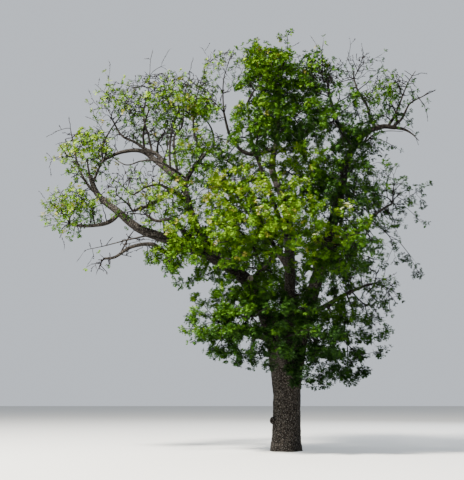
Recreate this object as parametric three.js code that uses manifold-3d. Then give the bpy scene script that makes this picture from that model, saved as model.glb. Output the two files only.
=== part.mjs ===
// An old service tree that stands alone in a field: a short thick trunk, three stems, open boughs to the
// left and a leafy crown. Millimetres, +Z up, the origin in the flat cut of the trunk at ground level.
// The front is the side seen from -Y, so left is -X and right is +X.
import * as THREE from "three";
import { mergeVertices } from "three/addons/utils/BufferGeometryUtils.js";
import Module from "manifold-3d";

const wasm = await Module();
wasm.setup();

// Driving dimensions of the trunk.
const TRUNK_HEIGHT = 2950;
const TRUNK_RADIUS = 460;
const TRUNK_LEAN = 70;
const LEAN_BEND = 2.2;
const TRUNK_SIDES = 15;
const TRUNK_RINGS = 11;
const ROOT_FLARE = 80;
const ROOT_FLARE_HEIGHT = 380;
const HEAD_SWELL = 120;
const HEAD_START = 0.55;
const HEAD_CURVE = 1.5;
const DOME_START = 0.86;
const DOME_DROP = 0.8;
const BUTTRESS_COUNT = 5;
const BUTTRESS_DEPTH = 0.06;
const BURL = { place: [-415, -90, 985], radius: 105 };
const STUB = { at: 0.52, towards: [-0.4, -0.85, 0.05], length: 330, radius: 85 };

// Pieces of wood and foliage that meet keep this gap.
const GAP = 0.3;
const UP = new THREE.Vector3(0, 0, 1);

// The shape of a limb. One whose root is thick has more sides and rings than a thin one.
const LIMB_TAPER = 1.15;
const THICK_ROOT = 200;
const THICK_SIDES = 8;
const THIN_SIDES = 5;
const THICK_STEPS = 1.75;
const THIN_STEPS = 1.5;

// The space of a mass, and how far its pieces keep inside it and off the limbs.
const FLATNESS = 0.92;
const SPACE_MARGIN = 16;
const LIMB_MARGIN = 16;
const HALVINGS = 10;
const LIMB_STRETCHES = 24;
const STEM_STRETCHES = 6;

// The stem of a mass, from its limb to its middle.
const STEM_SUNK = 12;
const STEM_ROOT = 26;
const STEM_ROOT_SHARE = 0.02;
const STEM_OF_LIMB = 0.9;
const STEM_TAPER = 0.45;
const STEM_LIFT = 0.1;
const STEM_LEAVE_TIP = 0.45;
const STEM_LEAVE_SIDE = 0.25;
const STEM_TURN = 0.35;
const STEM_MARKS = [0.4, 0.48, 0.56, 0.64, 0.72, 0.8, 0.88, 0.95];

// Shoots and leaves. Sizes are shares of a length where no unit is named; the millimetre values are the
// longest leaf, the leaf at a far tip and the thinnest twig.
const SHOOT_LIFT = 0.09;
const SHOOT_SAG = -0.054;
const SHOOT_BEND = 0.55;
const SHOOT_MARKS = [0.35, 0.6, 0.85];
const SHOOT_THINNING = 0.6;
const SHOOT_ROOT = 0.2;
const SHOOT_NECK = 0.05;
const WOODY_SHARE = 0.7;
const TIP_REACH = [0.86, 0.98];
const WAY_BACK_WEIGHT = 0.45;
const TWIG_OF_PARENT = 0.55;
const THINNEST_TWIG = 10;
const LEAF_OF_SHOOT = 0.86;
const LEAF_SHARE = 0.64;
const LEAF_SLENDERNESS = 0.6;
const LEAF_THICKNESS = 0.03;
const LEAF_WIDEST = 0.45;
const LEAF_MARGIN = 0.22;
const LEAF_ROLL = 2.5;
const LONGEST_LEAF = 1000;
const FAR_LEAF = 480;
const SPARSE = 4;
const TRIES = 3;
const CORE_TRIES = 1.7;
const WOOD_TRIES = 12;
const LEAF_FORWARD = [0.35, 0.85];
const LEAF_LENGTHS = [0.75, 1];
const CORE_ROOT = 0.6;
const CORE_LEAF_TIP = 0.97;
const FINEST_CORE = 0.2;
const CORE_SHRINK = 0.9;
const GOLDEN_ANGLE = Math.PI * (3 - Math.sqrt(5));
const DEALING_STRIDE = 11;
const TURN_JITTER = 0.5;

// The limbs. Each springs from another one, at a share of that one's length, and passes the places in
// "through". "root" and "tip" are its radii at its two ends. "aside" moves a root off the trunk's middle.
const LIMBS = [
  {
    name: "bough_left_low", from: "trunk", at: 0.8, aside: [-230, -110, 0], root: 290, tip: 85,
    through: [
      [-430, -400, 3780], [-1100, -900, 5330], [-2330, -1100, 6270], [-3770, -1000, 6870],
      [-4880, -800, 7320], [-5660, -600, 7960], [-6400, -400, 8610], [-6720, -300, 9320],
    ],
  },
  {
    name: "stem_middle", from: "trunk", at: 0.82, aside: [30, 210, 0], root: 240, tip: 60,
    through: [
      [190, 400, 4180], [270, 500, 6130], [190, 400, 8270], [-130, 300, 9120],
      [-340, 200, 9830], [-160, 100, 10840], [-140, 100, 11820], [-240, 100, 12580],
    ],
  },
  {
    name: "stem_right", from: "trunk", at: 0.8, aside: [240, -70, 0], root: 270, tip: 75,
    through: [
      [670, 50, 4170], [1230, 200, 5920], [1800, 250, 7810], [2120, 200, 9060],
      [2400, 100, 10150], [2920, 0, 10930], [3550, -100, 11190], [4050, -100, 11160],
    ],
  },
  {
    name: "bough_left_riser", from: "bough_left_low", at: 0.345, root: 175, tip: 50,
    through: [
      [-2920, -700, 7310], [-3330, -300, 8560], [-3380, -100, 9190], [-2900, 0, 9990],
      [-2410, 100, 10500],
    ],
  },
  {
    name: "bough_left_shelf", from: "bough_left_riser", at: 0.56, root: 130, tip: 55,
    through: [
      [-3920, 0, 9510], [-4510, 200, 10050], [-5020, 200, 10390], [-5700, 200, 10350],
      [-6350, 100, 10020],
    ],
  },
  {
    name: "bough_left_inner", from: "bough_left_riser", at: 0.36, root: 95, tip: 50,
    through: [
      [-3830, -600, 8700], [-4220, -800, 8360], [-4630, -1000, 8070], [-5080, -1200, 7850],
    ],
  },
  {
    name: "bough_left_tip", from: "bough_left_low", at: 0.74, root: 85, tip: 45,
    through: [
      [-6000, -800, 7530], [-6690, -900, 7400], [-7230, -900, 7470],
    ],
  },
  {
    name: "bough_left_hanging", from: "bough_left_low", at: 0.45, root: 90, tip: 42,
    through: [
      [-3870, -1500, 6380], [-4360, -1800, 6600], [-5010, -1950, 6480], [-5500, -2000, 6150],
      [-5850, -2050, 6080],
    ],
  },
  {
    name: "bough_middle_arch", from: "stem_middle", at: 0.705, root: 95, tip: 40,
    through: [
      [-920, -100, 10180], [-1410, -300, 10230], [-1840, -400, 10780], [-2050, -400, 11600],
    ],
  },
  {
    name: "bough_right_fork", from: "stem_right", at: 0.75, root: 95, tip: 42,
    through: [
      [2120, -300, 11100], [1880, -500, 11400], [1700, -550, 12100], [1620, -500, 12750],
    ],
  },
  {
    name: "bough_right_spire", from: "stem_right", at: 0.84, root: 65, tip: 30,
    through: [
      [3250, 300, 11600], [3150, 350, 12150], [2850, 350, 12700], [2700, 350, 13200],
    ],
  },
  {
    name: "bough_right_side", from: "stem_right", at: 0.33, root: 80, tip: 34,
    through: [
      [2050, -500, 6930], [2620, -900, 7400], [3200, -1100, 7870], [3620, -1100, 8130],
    ],
  },
  {
    name: "bough_right_low", from: "stem_right", at: 0.14, root: 95, tip: 36,
    through: [
      [1810, 400, 5050], [2680, 500, 5490], [3230, 500, 5660],
    ],
  },
  {
    name: "bough_left_skirt", from: "bough_left_low", at: 0.1, root: 90, tip: 34,
    through: [
      [-1170, -600, 3860], [-1550, -760, 3930], [-1850, -880, 3960],
    ],
  },
  {
    name: "bough_front", from: "trunk", at: 0.84, aside: [-60, -250, 0], root: 165, tip: 45,
    through: [
      [-480, -1050, 4200], [-1030, -1700, 5360], [-690, -2200, 5840], [-400, -2700, 6200],
    ],
  },
  {
    name: "bough_front_top", from: "stem_middle", at: 0.3, root: 100, tip: 36,
    through: [
      [-90, -1000, 7410], [-650, -1700, 8750], [-1080, -1600, 10110], [-1250, -1350, 11600],
    ],
  },
  {
    name: "bough_back_left", from: "stem_middle", at: 0.25, root: 115, tip: 42,
    through: [
      [-370, 1600, 7410], [-1060, 2350, 8500], [-1480, 2720, 9150],
    ],
  },
  {
    name: "bough_back_right", from: "stem_right", at: 0.28, root: 105, tip: 40,
    through: [
      [2050, 1500, 7490], [2450, 2400, 8600], [2420, 2750, 9350],
    ],
  },
];

// The furthest tips of the crown, which stand out past the balls of their masses.
const FAR_TIPS = {
  left_tip: [[-8450, -900, 8340], [-8310, -700, 7900], [-7930, -1000, 7170]],
  left_fan: [[-8050, -200, 9930], [-7760, -100, 11370]],
  left_shelf: [[-6490, 200, 13650], [-7080, 200, 12010]],
  left_crest_outer: [[-5350, 100, 13550]],
  left_crest: [[-3560, 300, 13800], [-4300, 300, 14050]],
  left_crest_back: [[-4350, 4150, 12000]],
  left_shoulder: [[-4600, -1600, 5950], [-4200, -1600, 5300]],
  left_hanging: [[-6400, -2050, 6380]],
  arch_end: [[-1590, -500, 14280], [-2600, -300, 13900]],
  top_middle: [[380, 200, 15200], [-590, 0, 14670]],
  top_back: [[900, 3600, 13900]],
  right_fork: [[1620, -400, 14600]],
  right_spire: [[2700, 300, 14850], [3480, 200, 14100], [4050, 200, 14400]],
  right_end: [[5720, 100, 12600], [5470, -200, 11850], [4900, -150, 10700], [5000, 0, 13200]],
  right_upper: [[4260, -1000, 9970]],
  right_side: [[5190, -1000, 8840], [5120, -600, 8200], [4890, -1200, 7200]],
  right_middle: [[4750, -600, 6080], [4900, -300, 5650]],
  right_low: [[4360, 400, 5260], [4050, 600, 4410], [3770, 0, 4870]],
  left_skirt: [[-3710, -1200, 3850]],
  front_middle: [[-200, -4750, 7250]],
  front_left: [[-2050, -4350, 6500]],
  back_left: [[-2300, 4650, 10500]],
  back_middle: [[-1500, 4550, 7300]],
  back_right: [[2800, 4550, 10100]],
  back_right_low: [[2500, 4400, 6800]],
};

// The masses of foliage: name, limb, share of the limb's length (1 is its tip), centre and reach of the ball
// whose own part it fills, number of shoots, number of leaves between them, and the share of the way to its
// edge that the core of a dense mass goes.
const MASSES = [
  ["left_tip", "bough_left_tip", 1, [-7200, -850, 8150], 1150, 7, 7, 0],
  ["left_fan", "bough_left_low", 1, [-6850, -200, 10000], 1250, 4, 8, 0.35],
  ["left_shelf", "bough_left_shelf", 1, [-5750, 200, 11750], 1300, 4, 8, 0.3],
  ["left_crest_outer", "bough_left_shelf", 0.55, [-4750, 100, 11900], 1450, 4, 9, 0.42],
  ["left_crest", "bough_left_shelf", 0.2, [-3650, 400, 12100], 1450, 4, 9, 0.42],
  ["left_crest_back", "bough_left_shelf", 0.35, [-4300, 2400, 11800], 1550, 4, 9, 0.35],
  ["left_crown", "bough_left_riser", 1, [-3200, -300, 11650], 1200, 4, 9, 0.45],
  ["left_hollow", "bough_left_inner", 1, [-5250, -1150, 8300], 1100, 7, 4, 0],
  ["left_inner", "bough_left_riser", 0.7, [-2950, -900, 9600], 1400, 4, 8, 0.56],
  ["left_hanging", "bough_left_hanging", 1, [-5950, -2100, 5850], 520, 5, 0, 0],
  ["left_low_inner", "bough_left_low", 0.52, [-3950, -1450, 7750], 1250, 6, 8, 0],
  ["left_shoulder", "bough_left_low", 0.3, [-2950, -1700, 6300], 1500, 3, 9, 0.62],
  ["arch_end", "bough_middle_arch", 1, [-2000, -480, 13100], 950, 7, 2, 0],
  ["top_left", "bough_front_top", 1, [-400, -1200, 12500], 1300, 4, 9, 0.56],
  ["top_middle", "stem_middle", 1, [-150, 200, 13050], 1500, 4, 9, 0.56],
  ["top_back", "stem_middle", 0.62, [600, 2400, 12500], 1650, 4, 9, 0.5],
  ["upper_left", "bough_front_top", 0.66, [-1050, -2200, 10500], 1300, 3, 9, 0.62],
  ["upper_middle", "stem_middle", 0.84, [350, -1300, 11100], 1600, 3, 9, 0.62],
  ["middle_left", "bough_front_top", 0.36, [-1650, -1600, 8200], 1400, 3, 9, 0.62],
  ["centre", "stem_middle", 0.55, [350, -1600, 8900], 1550, 3, 9, 0.62],
  ["right_fork", "bough_right_fork", 1, [1350, -450, 12800], 1150, 4, 8, 0.48],
  ["right_spire", "bough_right_spire", 1, [2850, 300, 13150], 1250, 7, 5, 0],
  ["right_end", "stem_right", 1, [3750, -100, 12300], 1150, 4, 8, 0.3],
  ["right_upper", "stem_right", 0.84, [2450, -1000, 10550], 1250, 4, 8, 0.48],
  ["right_shoulder", "bough_right_fork", 0.35, [1650, -1550, 10850], 1550, 3, 9, 0.62],
  ["right_side", "bough_right_side", 1, [3150, -1000, 8450], 1300, 4, 9, 0.52],
  ["right_middle", "bough_right_side", 0.62, [2700, -750, 6950], 1400, 4, 8, 0.56],
  ["right_low", "bough_right_low", 1, [2900, 450, 5250], 1400, 4, 9, 0.56],
  ["right_skirt", "bough_right_low", 0.4, [1950, -500, 3600], 1550, 3, 9, 0.62],
  ["front_left", "bough_front", 0.66, [-1500, -2750, 6800], 1500, 3, 9, 0.62],
  ["front_middle", "bough_front", 1, [-50, -3150, 7050], 1550, 3, 9, 0.62],
  ["front_right", "bough_right_side", 0.2, [1500, -2500, 6400], 1550, 3, 9, 0.62],
  ["front_low", "bough_front", 0.4, [-1150, -2300, 4200], 1500, 3, 9, 0.62],
  ["front_low_right", "stem_right", 0.1, [450, -2150, 3500], 1500, 3, 9, 0.62],
  ["left_skirt", "bough_left_skirt", 1, [-2200, -1100, 4150], 1400, 4, 8, 0.56],
  ["crown_inner", "stem_right", 0.45, [1700, -1500, 8500], 1550, 3, 9, 0.62],
  ["back_low", "stem_middle", 0.14, [200, 2000, 4900], 1850, 3, 8, 0.62],
  ["back_middle", "bough_back_left", 0.4, [-1000, 2500, 7000], 1850, 3, 8, 0.62],
  ["back_left", "bough_back_left", 1, [-1900, 2700, 10150], 1800, 4, 8, 0.56],
  ["back_right", "bough_back_right", 1, [2200, 2700, 9900], 1750, 4, 8, 0.56],
  ["back_right_low", "bough_back_right", 0.45, [1850, 2500, 6700], 1850, 3, 8, 0.62],
].map(([name, from, at, centre, reach, shoots, leaves, core]) => {
  const tips = FAR_TIPS[name] ?? [];
  return { name: `leaves_${name}`, from, at, centre, reach, shoots, leaves, core, tips };
});

const bark = new THREE.MeshStandardMaterial({ color: 0x4d4238, roughness: 0.95, metalness: 0 });
const foliage = new THREE.MeshStandardMaterial({ color: 0x6f9a22, roughness: 0.75, metalness: 0 });

const vector = (place) => new THREE.Vector3(...place);

// A repeatable run of numbers from 0 to 1.
function seeded(seed) {
  let state = seed >>> 0;
  return () => {
    state = (state + 0x6d2b79f5) >>> 0;
    let t = Math.imul(state ^ (state >>> 15), state | 1);
    t ^= t + Math.imul(t ^ (t >>> 7), t | 61);
    return ((t ^ (t >>> 14)) >>> 0) / 4294967296;
  };
}

// Two directions square to a third one, the first of them level.
function squareTo(direction) {
  const across = new THREE.Vector3().crossVectors(direction, UP);
  if (across.lengthSq() < 1e-6) across.set(1, 0, 0);
  across.normalize();
  return [across, new THREE.Vector3().crossVectors(across, direction).normalize()];
}

// The rings of a tube: places along a route, each with two directions square to it. They are carried on
// from ring to ring without a twist, from the direction "facing" at the first one.
function ringsAlong(route, segments, facing) {
  let across = facing ?? squareTo(route.getTangent(0))[0];
  return Array.from({ length: segments + 1 }, (_, i) => {
    const place = route.getPoint(i / segments);
    const tangent = route.getTangent(i / segments);
    across = across.clone().addScaledVector(tangent, -across.dot(tangent)).normalize();
    return { place, tangent, across, over: new THREE.Vector3().crossVectors(across, tangent) };
  });
}

// A closed tube: a cylinder bent along a route. shapeAt(t) gives its half width and half height there, zero
// for a pointed end, and "beyond" moves its last ring on.
function bentCylinder(route, sides, segments, shapeAt, { facing, beyond = 0 } = {}) {
  const rings = ringsAlong(route, segments, facing);
  rings[segments].place.addScaledVector(rings[segments].tangent, beyond);
  const geometry = new THREE.CylinderGeometry(1, 1, 1, sides, segments);
  const position = geometry.getAttribute("position");
  for (let i = 0; i < position.count; i++) {
    const t = position.getY(i) + 0.5;
    const ring = rings[Math.round(t * segments)];
    const [width, height] = shapeAt(t);
    const place = ring.place
      .clone()
      .addScaledVector(ring.across, position.getX(i) * width)
      .addScaledVector(ring.over, position.getZ(i) * height);
    position.setXYZ(i, place.x, place.y, place.z);
  }
  return geometry;
}

// A three.js geometry as a solid of the boolean library, turned the right way out.
function solidOf(geometry) {
  const bare = geometry.clone();
  bare.deleteAttribute("normal");
  bare.deleteAttribute("uv");
  const merged = mergeVertices(bare, 1e-4);
  const corners = merged.index.array;
  const faces = [];
  for (let i = 0; i < corners.length; i += 3) {
    const [a, b, c] = corners.slice(i, i + 3);
    if (a !== b && b !== c && c !== a) faces.push(a, b, c);
  }
  const make = (triVerts) =>
    new wasm.Manifold(
      new wasm.Mesh({
        numProp: 3,
        vertProperties: new Float32Array(merged.getAttribute("position").array),
        triVerts: new Uint32Array(triVerts),
      }),
    );
  const made = make(faces);
  return made.volume() > 0 ? made : make(faces.reverse());
}

function geometryOf(solid) {
  const mesh = solid.getMesh();
  const positions = new Float32Array(mesh.numVert * 3);
  for (let i = 0; i < mesh.numVert; i++)
    positions.set(mesh.vertProperties.subarray(i * mesh.numProp, i * mesh.numProp + 3), i * 3);
  return new THREE.BufferGeometry()
    .setAttribute("position", new THREE.BufferAttribute(positions, 3))
    .setIndex(new THREE.BufferAttribute(new Uint32Array(mesh.triVerts), 1));
}

// The largest of the bodies that a cut has left.
function largestBody(solid) {
  return solid.decompose().sort((a, b) => b.volume() - a.volume())[0];
}

// The trunk's route and its radius at a share of its height: wide at the roots, swollen under the stems.
const trunkRoute = new THREE.CatmullRomCurve3(
  [0, 0.35, 0.7, 1].map((t) => new THREE.Vector3(TRUNK_LEAN * Math.sin(LEAN_BEND * t), 0, t * TRUNK_HEIGHT)),
  false,
  "catmullrom",
);

function trunkRadius(t) {
  const flare = ROOT_FLARE * Math.exp((-t * TRUNK_HEIGHT) / ROOT_FLARE_HEIGHT);
  const head = Math.max(0, (t - HEAD_START) / (1 - HEAD_START));
  const dome = Math.max(0, (t - DOME_START) / (1 - DOME_START));
  return (TRUNK_RADIUS + flare + HEAD_SWELL * head ** HEAD_CURVE) * Math.sqrt(1 - DOME_DROP * dome ** 2);
}

// The trunk, its rings level, with low buttresses round its foot, and a burl. "extra" makes it thicker, as
// a cutter for its neighbours.
function trunkSolid(extra) {
  const geometry = new THREE.CylinderGeometry(1, 1, 1, TRUNK_SIDES, TRUNK_RINGS);
  geometry.rotateX(Math.PI / 2).translate(0, 0, 0.5);
  const position = geometry.getAttribute("position");
  for (let i = 0; i < position.count; i++) {
    const [x, y, t] = [position.getX(i), position.getY(i), position.getZ(i)];
    const ridges = Math.cos(BUTTRESS_COUNT * Math.atan2(y, x));
    const swell = 1 + BUTTRESS_DEPTH * Math.exp((-t * TRUNK_HEIGHT) / ROOT_FLARE_HEIGHT) * ridges;
    const radius = trunkRadius(t) * swell + extra;
    position.setXYZ(i, trunkRoute.getPoint(t).x + x * radius, y * radius, t * TRUNK_HEIGHT + t * extra);
  }
  const burl = new THREE.IcosahedronGeometry(BURL.radius + extra, 1).translate(...BURL.place);
  return solidOf(geometry).add(solidOf(burl));
}

const trunk = { route: trunkRoute, radiusAt: trunkRadius, solid: trunkSolid(0), cutter: trunkSolid(GAP) };
const limbs = new Map([["trunk", trunk]]);

// A limb's route, from the inside of the limb it springs from through its own places.
function limbRoute(limb) {
  const start = limbs.get(limb.from).route.getPoint(limb.at);
  if (limb.aside) start.add(vector(limb.aside));
  return new THREE.CatmullRomCurve3([start, ...limb.through.map(vector)], false, "catmullrom");
}

// The pruned stub on the front bough, where a limb was once sawn off.
function stubSolid(route, extra) {
  const from = route.getPoint(STUB.at);
  const to = from.clone().addScaledVector(vector(STUB.towards).normalize(), STUB.length);
  const radius = STUB.radius + extra;
  return solidOf(bentCylinder(new THREE.LineCurve3(from, to), THICK_SIDES, 1, () => [radius, radius]));
}

// One tapering limb, thickest in a collar at its root, and cut clear of every limb before it.
function addLimb(limb) {
  const route = limbRoute(limb);
  const thick = limb.root > THICK_ROOT;
  const sides = thick ? THICK_SIDES : THIN_SIDES;
  const segments = Math.round(limb.through.length * (thick ? THICK_STEPS : THIN_STEPS));
  const radiusAt = (t) => limb.tip + (limb.root - limb.tip) * (1 - t) ** LIMB_TAPER;
  const tubeOf = (extra) => {
    const shapeAt = (t) => [radiusAt(t) + extra, radiusAt(t) + extra];
    const tube = solidOf(bentCylinder(route, sides, segments, shapeAt, { beyond: extra }));
    return limb.name === "bough_front" ? tube.add(stubSolid(route, extra)) : tube;
  };
  let solid = tubeOf(0);
  for (const other of limbs.values()) {
    const cut = solid.subtract(other.cutter);
    if (cut.volume() < solid.volume()) solid = largestBody(cut);
  }
  limbs.set(limb.name, { route, radiusAt, solid, cutter: tubeOf(GAP) });
}
LIMBS.forEach(addLimb);

// Everything that foliage has to keep clear of, as short straight stretches with a radius at both ends.
const stretches = [];
function addStretches(route, radiusAt, owner, count) {
  for (let i = 0; i < count; i++) {
    const endAt = (t) => ({ place: route.getPoint(t), radius: radiusAt(t) });
    stretches.push({ owner, a: endAt(i / count), b: endAt((i + 1) / count) });
  }
}
for (const [name, limb] of limbs) addStretches(limb.route, limb.radiusAt, name, LIMB_STRETCHES);

// How far a point lies from the surface of the nearest stretch that its mass doesn't own.
function clearance(point, owner) {
  let least = Infinity;
  const along = new THREE.Vector3();
  const away = new THREE.Vector3();
  for (const s of stretches) {
    if (s.owner === owner) continue;
    along.subVectors(s.b.place, s.a.place);
    away.subVectors(point, s.a.place);
    const t = Math.min(1, Math.max(0, away.dot(along) / along.lengthSq()));
    const radius = s.a.radius + (s.b.radius - s.a.radius) * t;
    least = Math.min(least, away.addScaledVector(along, -t).length() - radius);
  }
  return least;
}

// How deep a point lies in the ball of a mass: over zero inside it. The deepest ball owns the point.
function depthIn(point, mass) {
  const dx = point.x - mass.centre[0];
  const dy = point.y - mass.centre[1];
  const dz = (point.z - mass.centre[2]) / FLATNESS;
  return mass.reach ** 2 - dx * dx - dy * dy - dz * dz;
}

// The other masses and the neighbours of each mass, with how far off their centres are.
for (const mass of MASSES) {
  mass.others = MASSES.filter((other) => other !== mass).map((other) => {
    return { other, apart: vector(mass.centre).distanceTo(vector(other.centre)) };
  });
  mass.neighbours = mass.others.filter(({ other, apart }) => apart < mass.reach + other.reach);
}

// Whether a point lies nearer to a mass than to each of some others, by the margin between their spaces.
function isNearest(point, mass, others) {
  const depth = depthIn(point, mass);
  return others.every(({ other, apart }) => depth - depthIn(point, other) > 2 * SPACE_MARGIN * apart);
}

// Whether a point is in a mass's own space: in its ball and clear of its neighbours' spaces.
function inOwnSpace(point, mass) {
  return depthIn(point, mass) >= 0 && isNearest(point, mass, mass.neighbours);
}

// Whether a point that may lie past the ball of its mass is clear of the space of every other mass.
function isOnOwnSide(point, mass) {
  return isNearest(point, mass, mass.others);
}

// How far a mass's own space goes from its centre in a direction, found by halving.
function edgeOf(mass, direction) {
  let [inside, outside] = [0, mass.reach];
  for (let i = 0; i < HALVINGS; i++) {
    const middle = (inside + outside) / 2;
    if (inOwnSpace(vector(mass.centre).addScaledVector(direction, middle), mass)) inside = middle;
    else outside = middle;
  }
  return inside;
}

// The stem of a mass: from its limb to the middle of its space.
function stemOf(mass) {
  const limb = limbs.get(mass.from);
  const middle = vector(mass.centre);
  const start = limb.route.getPoint(mass.at);
  const atTip = mass.at === 1;
  if (atTip) start.addScaledVector(limb.route.getTangent(1), -STEM_SUNK);
  const leave = limb.route.getTangent(mass.at).multiplyScalar(atTip ? STEM_LEAVE_TIP : STEM_LEAVE_SIDE);
  const length = start.distanceTo(middle);
  const bend = start.clone().addScaledVector(leave, length).lerp(middle, STEM_TURN);
  bend.addScaledVector(UP, STEM_LIFT * length);
  const root = Math.min(limb.radiusAt(mass.at) * STEM_OF_LIMB, STEM_ROOT + mass.reach * STEM_ROOT_SHARE);
  return {
    route: new THREE.QuadraticBezierCurve3(start, bend, middle),
    radiusAt: (t) => root * (1 - STEM_TAPER * t),
  };
}

// A stem as a tube of three sides.
function stemSolid({ route, radiusAt }, extra) {
  return solidOf(bentCylinder(route, 3, 3, (t) => [radiusAt(t) + extra, radiusAt(t) + extra]));
}

const stems = new Map(MASSES.map((mass) => [mass.name, stemOf(mass)]));
for (const [name, stem] of stems) {
  stem.cutter = stemSolid(stem, LIMB_MARGIN);
  addStretches(stem.route, stem.radiusAt, name, STEM_STRETCHES);
}

// Whether a solid of one mass touches a limb or another mass's stem.
const wood = [...limbs, ...stems].map(([name, { cutter }]) => ({ name, cutter, box: cutter.boundingBox() }));
function touchesWood(solid, owner) {
  const box = solid.boundingBox();
  const isNear = (other) =>
    [0, 1, 2].every((k) => box.min[k] < other.box.max[k] && other.box.min[k] < box.max[k]);
  const meets = (other) => isNear(other) && other.cutter.intersect(solid).volume() > 0;
  return wood.some((other) => other.name !== owner && meets(other));
}

// Directions spread evenly all round by the golden angle, dealt in an order that skips about.
function evenDirections(count, random) {
  return Array.from({ length: count }, (_, k) => {
    const i = (k * DEALING_STRIDE) % count;
    const z = 1 - (2 * i + 1) / count;
    const turn = i * GOLDEN_ANGLE + TURN_JITTER * random();
    const level = Math.sqrt(1 - z * z);
    return new THREE.Vector3(level * Math.cos(turn), level * Math.sin(turn), z);
  });
}

// The outline of a shoot: pointed in the middle of its parent's wood, full at that wood's surface, and a
// twig as far as its neck. From there a leafy one is a blade, widest a little short of its middle.
function shootShape({ twig, leaf, length }, buried) {
  const [point, round, thinned] = [0, twig, twig * SHOOT_THINNING].map((size) => [size, size]);
  const surface = Math.min(SHOOT_ROOT, buried / length);
  if (!leaf) return { marks: [0, surface, WOODY_SHARE, 1], sizes: [point, round, thinned, point] };
  const neck = Math.max(surface + SHOOT_NECK, 1 - leaf / length);
  const widest = neck + (1 - neck) * LEAF_WIDEST;
  const blade = [LEAF_SLENDERNESS, LEAF_THICKNESS].map((share) => (leaf * share) / 2);
  return { marks: [0, surface, neck, widest, 1], sizes: [point, round, thinned, blade, point] };
}

// A route whose equal steps fall on uneven marks, so that a cylinder's rings land on the neck and the widest
// part.
class MarkedRoute extends THREE.Curve {
  constructor(route, marks) {
    super();
    this.route = route;
    this.marks = marks;
  }
  place(t) {
    const steps = this.marks.length - 1;
    const i = Math.min(steps - 1, Math.floor(t * steps + 1e-9));
    return this.marks[i] + (this.marks[i + 1] - this.marks[i]) * (t * steps - i);
  }
  getPoint(t, target = new THREE.Vector3()) {
    return target.copy(this.route.getPoint(Math.min(1, this.place(t))));
  }
  getTangent(t, target = new THREE.Vector3()) {
    return target.copy(this.route.getTangent(Math.min(1, this.place(t))));
  }
}

// The points by which a blade is tested: its edges, its middle and its tip.
function bladePoints(root, direction, width, length) {
  const points = [];
  for (const t of [0.15, LEAF_WIDEST, 0.75, 1])
    for (const side of t === 1 ? [0] : [-1, 0, 1]) {
      const fullness = Math.min(1, t / LEAF_WIDEST, (1 - t) / (1 - LEAF_WIDEST));
      const half = (side * length * LEAF_SLENDERNESS * fullness) / 2;
      points.push(root.clone().addScaledVector(direction, t * length).addScaledVector(width, half));
    }
  return points;
}

function isFree(points, mass, isAllowed = inOwnSpace) {
  return points.every((p) => isAllowed(p, mass) && clearance(p, mass.name) > LIMB_MARGIN);
}

// Whether a blade keeps off those before it: its points, all but the three at its root, lie off theirs.
function isApart(blade, others, length) {
  const taken = others.flat();
  return blade.slice(3).every((p) => taken.every((q) => p.distanceTo(q) > LEAF_MARGIN * length));
}

// The direction of a blade's width, rolled at random about the way it points.
function rolledWidth(direction, random) {
  const roll = (random() - 0.5) * LEAF_ROLL;
  const [across, over] = squareTo(direction);
  return across.multiplyScalar(Math.cos(roll)).addScaledVector(over, Math.sin(roll));
}

// A curved shoot from a point of the wood to a tip, or nothing where it would leave its space or touch a
// limb. One to a far tip may leave the ball of its mass, and ends in a small leaf.
function shootTo(mass, from, tip, { leafy, far }, blades, random) {
  const length = from.place.distanceTo(tip);
  const direction = tip.clone().sub(from.place).normalize();
  const longest = far ? FAR_LEAF : Math.min(LONGEST_LEAF, mass.reach * LEAF_SHARE);
  const leaf = leafy ? Math.min(longest, length * LEAF_OF_SHOOT) : 0;
  const bend = from.place.clone().lerp(tip, SHOOT_BEND);
  bend.addScaledVector(UP, (leafy ? SHOOT_LIFT : SHOOT_SAG) * length);
  const route = new THREE.QuadraticBezierCurve3(from.place, bend, tip);
  const twigPoints = [0.25, 0.45, 0.65, 0.85, 1].map((t) => route.getPoint(t));
  const width = rolledWidth(direction, random);
  const blade = leafy ? bladePoints(route.getPoint(1 - leaf / length), direction, width, leaf) : [];
  const isAllowed = far ? isOnOwnSide : inOwnSpace;
  if (!isFree([...twigPoints, ...blade], mass, isAllowed) || !isApart(blade, blades, leaf)) return null;
  const twig = Math.max(THINNEST_TWIG, from.radius * TWIG_OF_PARENT);
  const shoot = { route, length, leaf, twig, facing: width };
  shoot.solid = shootSolid(shoot, from.radius);
  if (touchesWood(shoot.solid, mass.name)) return null;
  if (leafy) blades.push(blade);
  return shoot;
}

function shootSolid(shoot, buried) {
  const { marks, sizes } = shootShape(shoot, buried);
  const marked = new MarkedRoute(shoot.route, marks);
  const shapeAt = (t) => sizes[Math.round(t * (marks.length - 1))];
  return solidOf(bentCylinder(marked, 3, marks.length - 1, shapeAt, { facing: shoot.facing }));
}

// A leaf that stands off the wood: a flat eight-faced blade with its root in the middle of the twig.
function sideLeaf(mass, root, direction, length, blades, random) {
  const width = rolledWidth(direction, random);
  const blade = bladePoints(root, direction, width, length);
  if (!isFree(blade, mass) || !isApart(blade, blades, length)) return null;
  const thick = new THREE.Vector3().crossVectors(width, direction);
  const pose = new THREE.Matrix4().makeBasis(direction, width, thick);
  const middle = root.clone().addScaledVector(direction, length * 0.5);
  const leaf = new THREE.OctahedronGeometry(0.5, 0)
    .scale(length, length * LEAF_SLENDERNESS, length * LEAF_THICKNESS)
    .applyMatrix4(pose)
    .translate(middle.x, middle.y, middle.z);
  const solid = solidOf(leaf);
  if (touchesWood(solid, mass.name)) return null;
  blades.push(blade);
  return solid;
}

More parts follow.
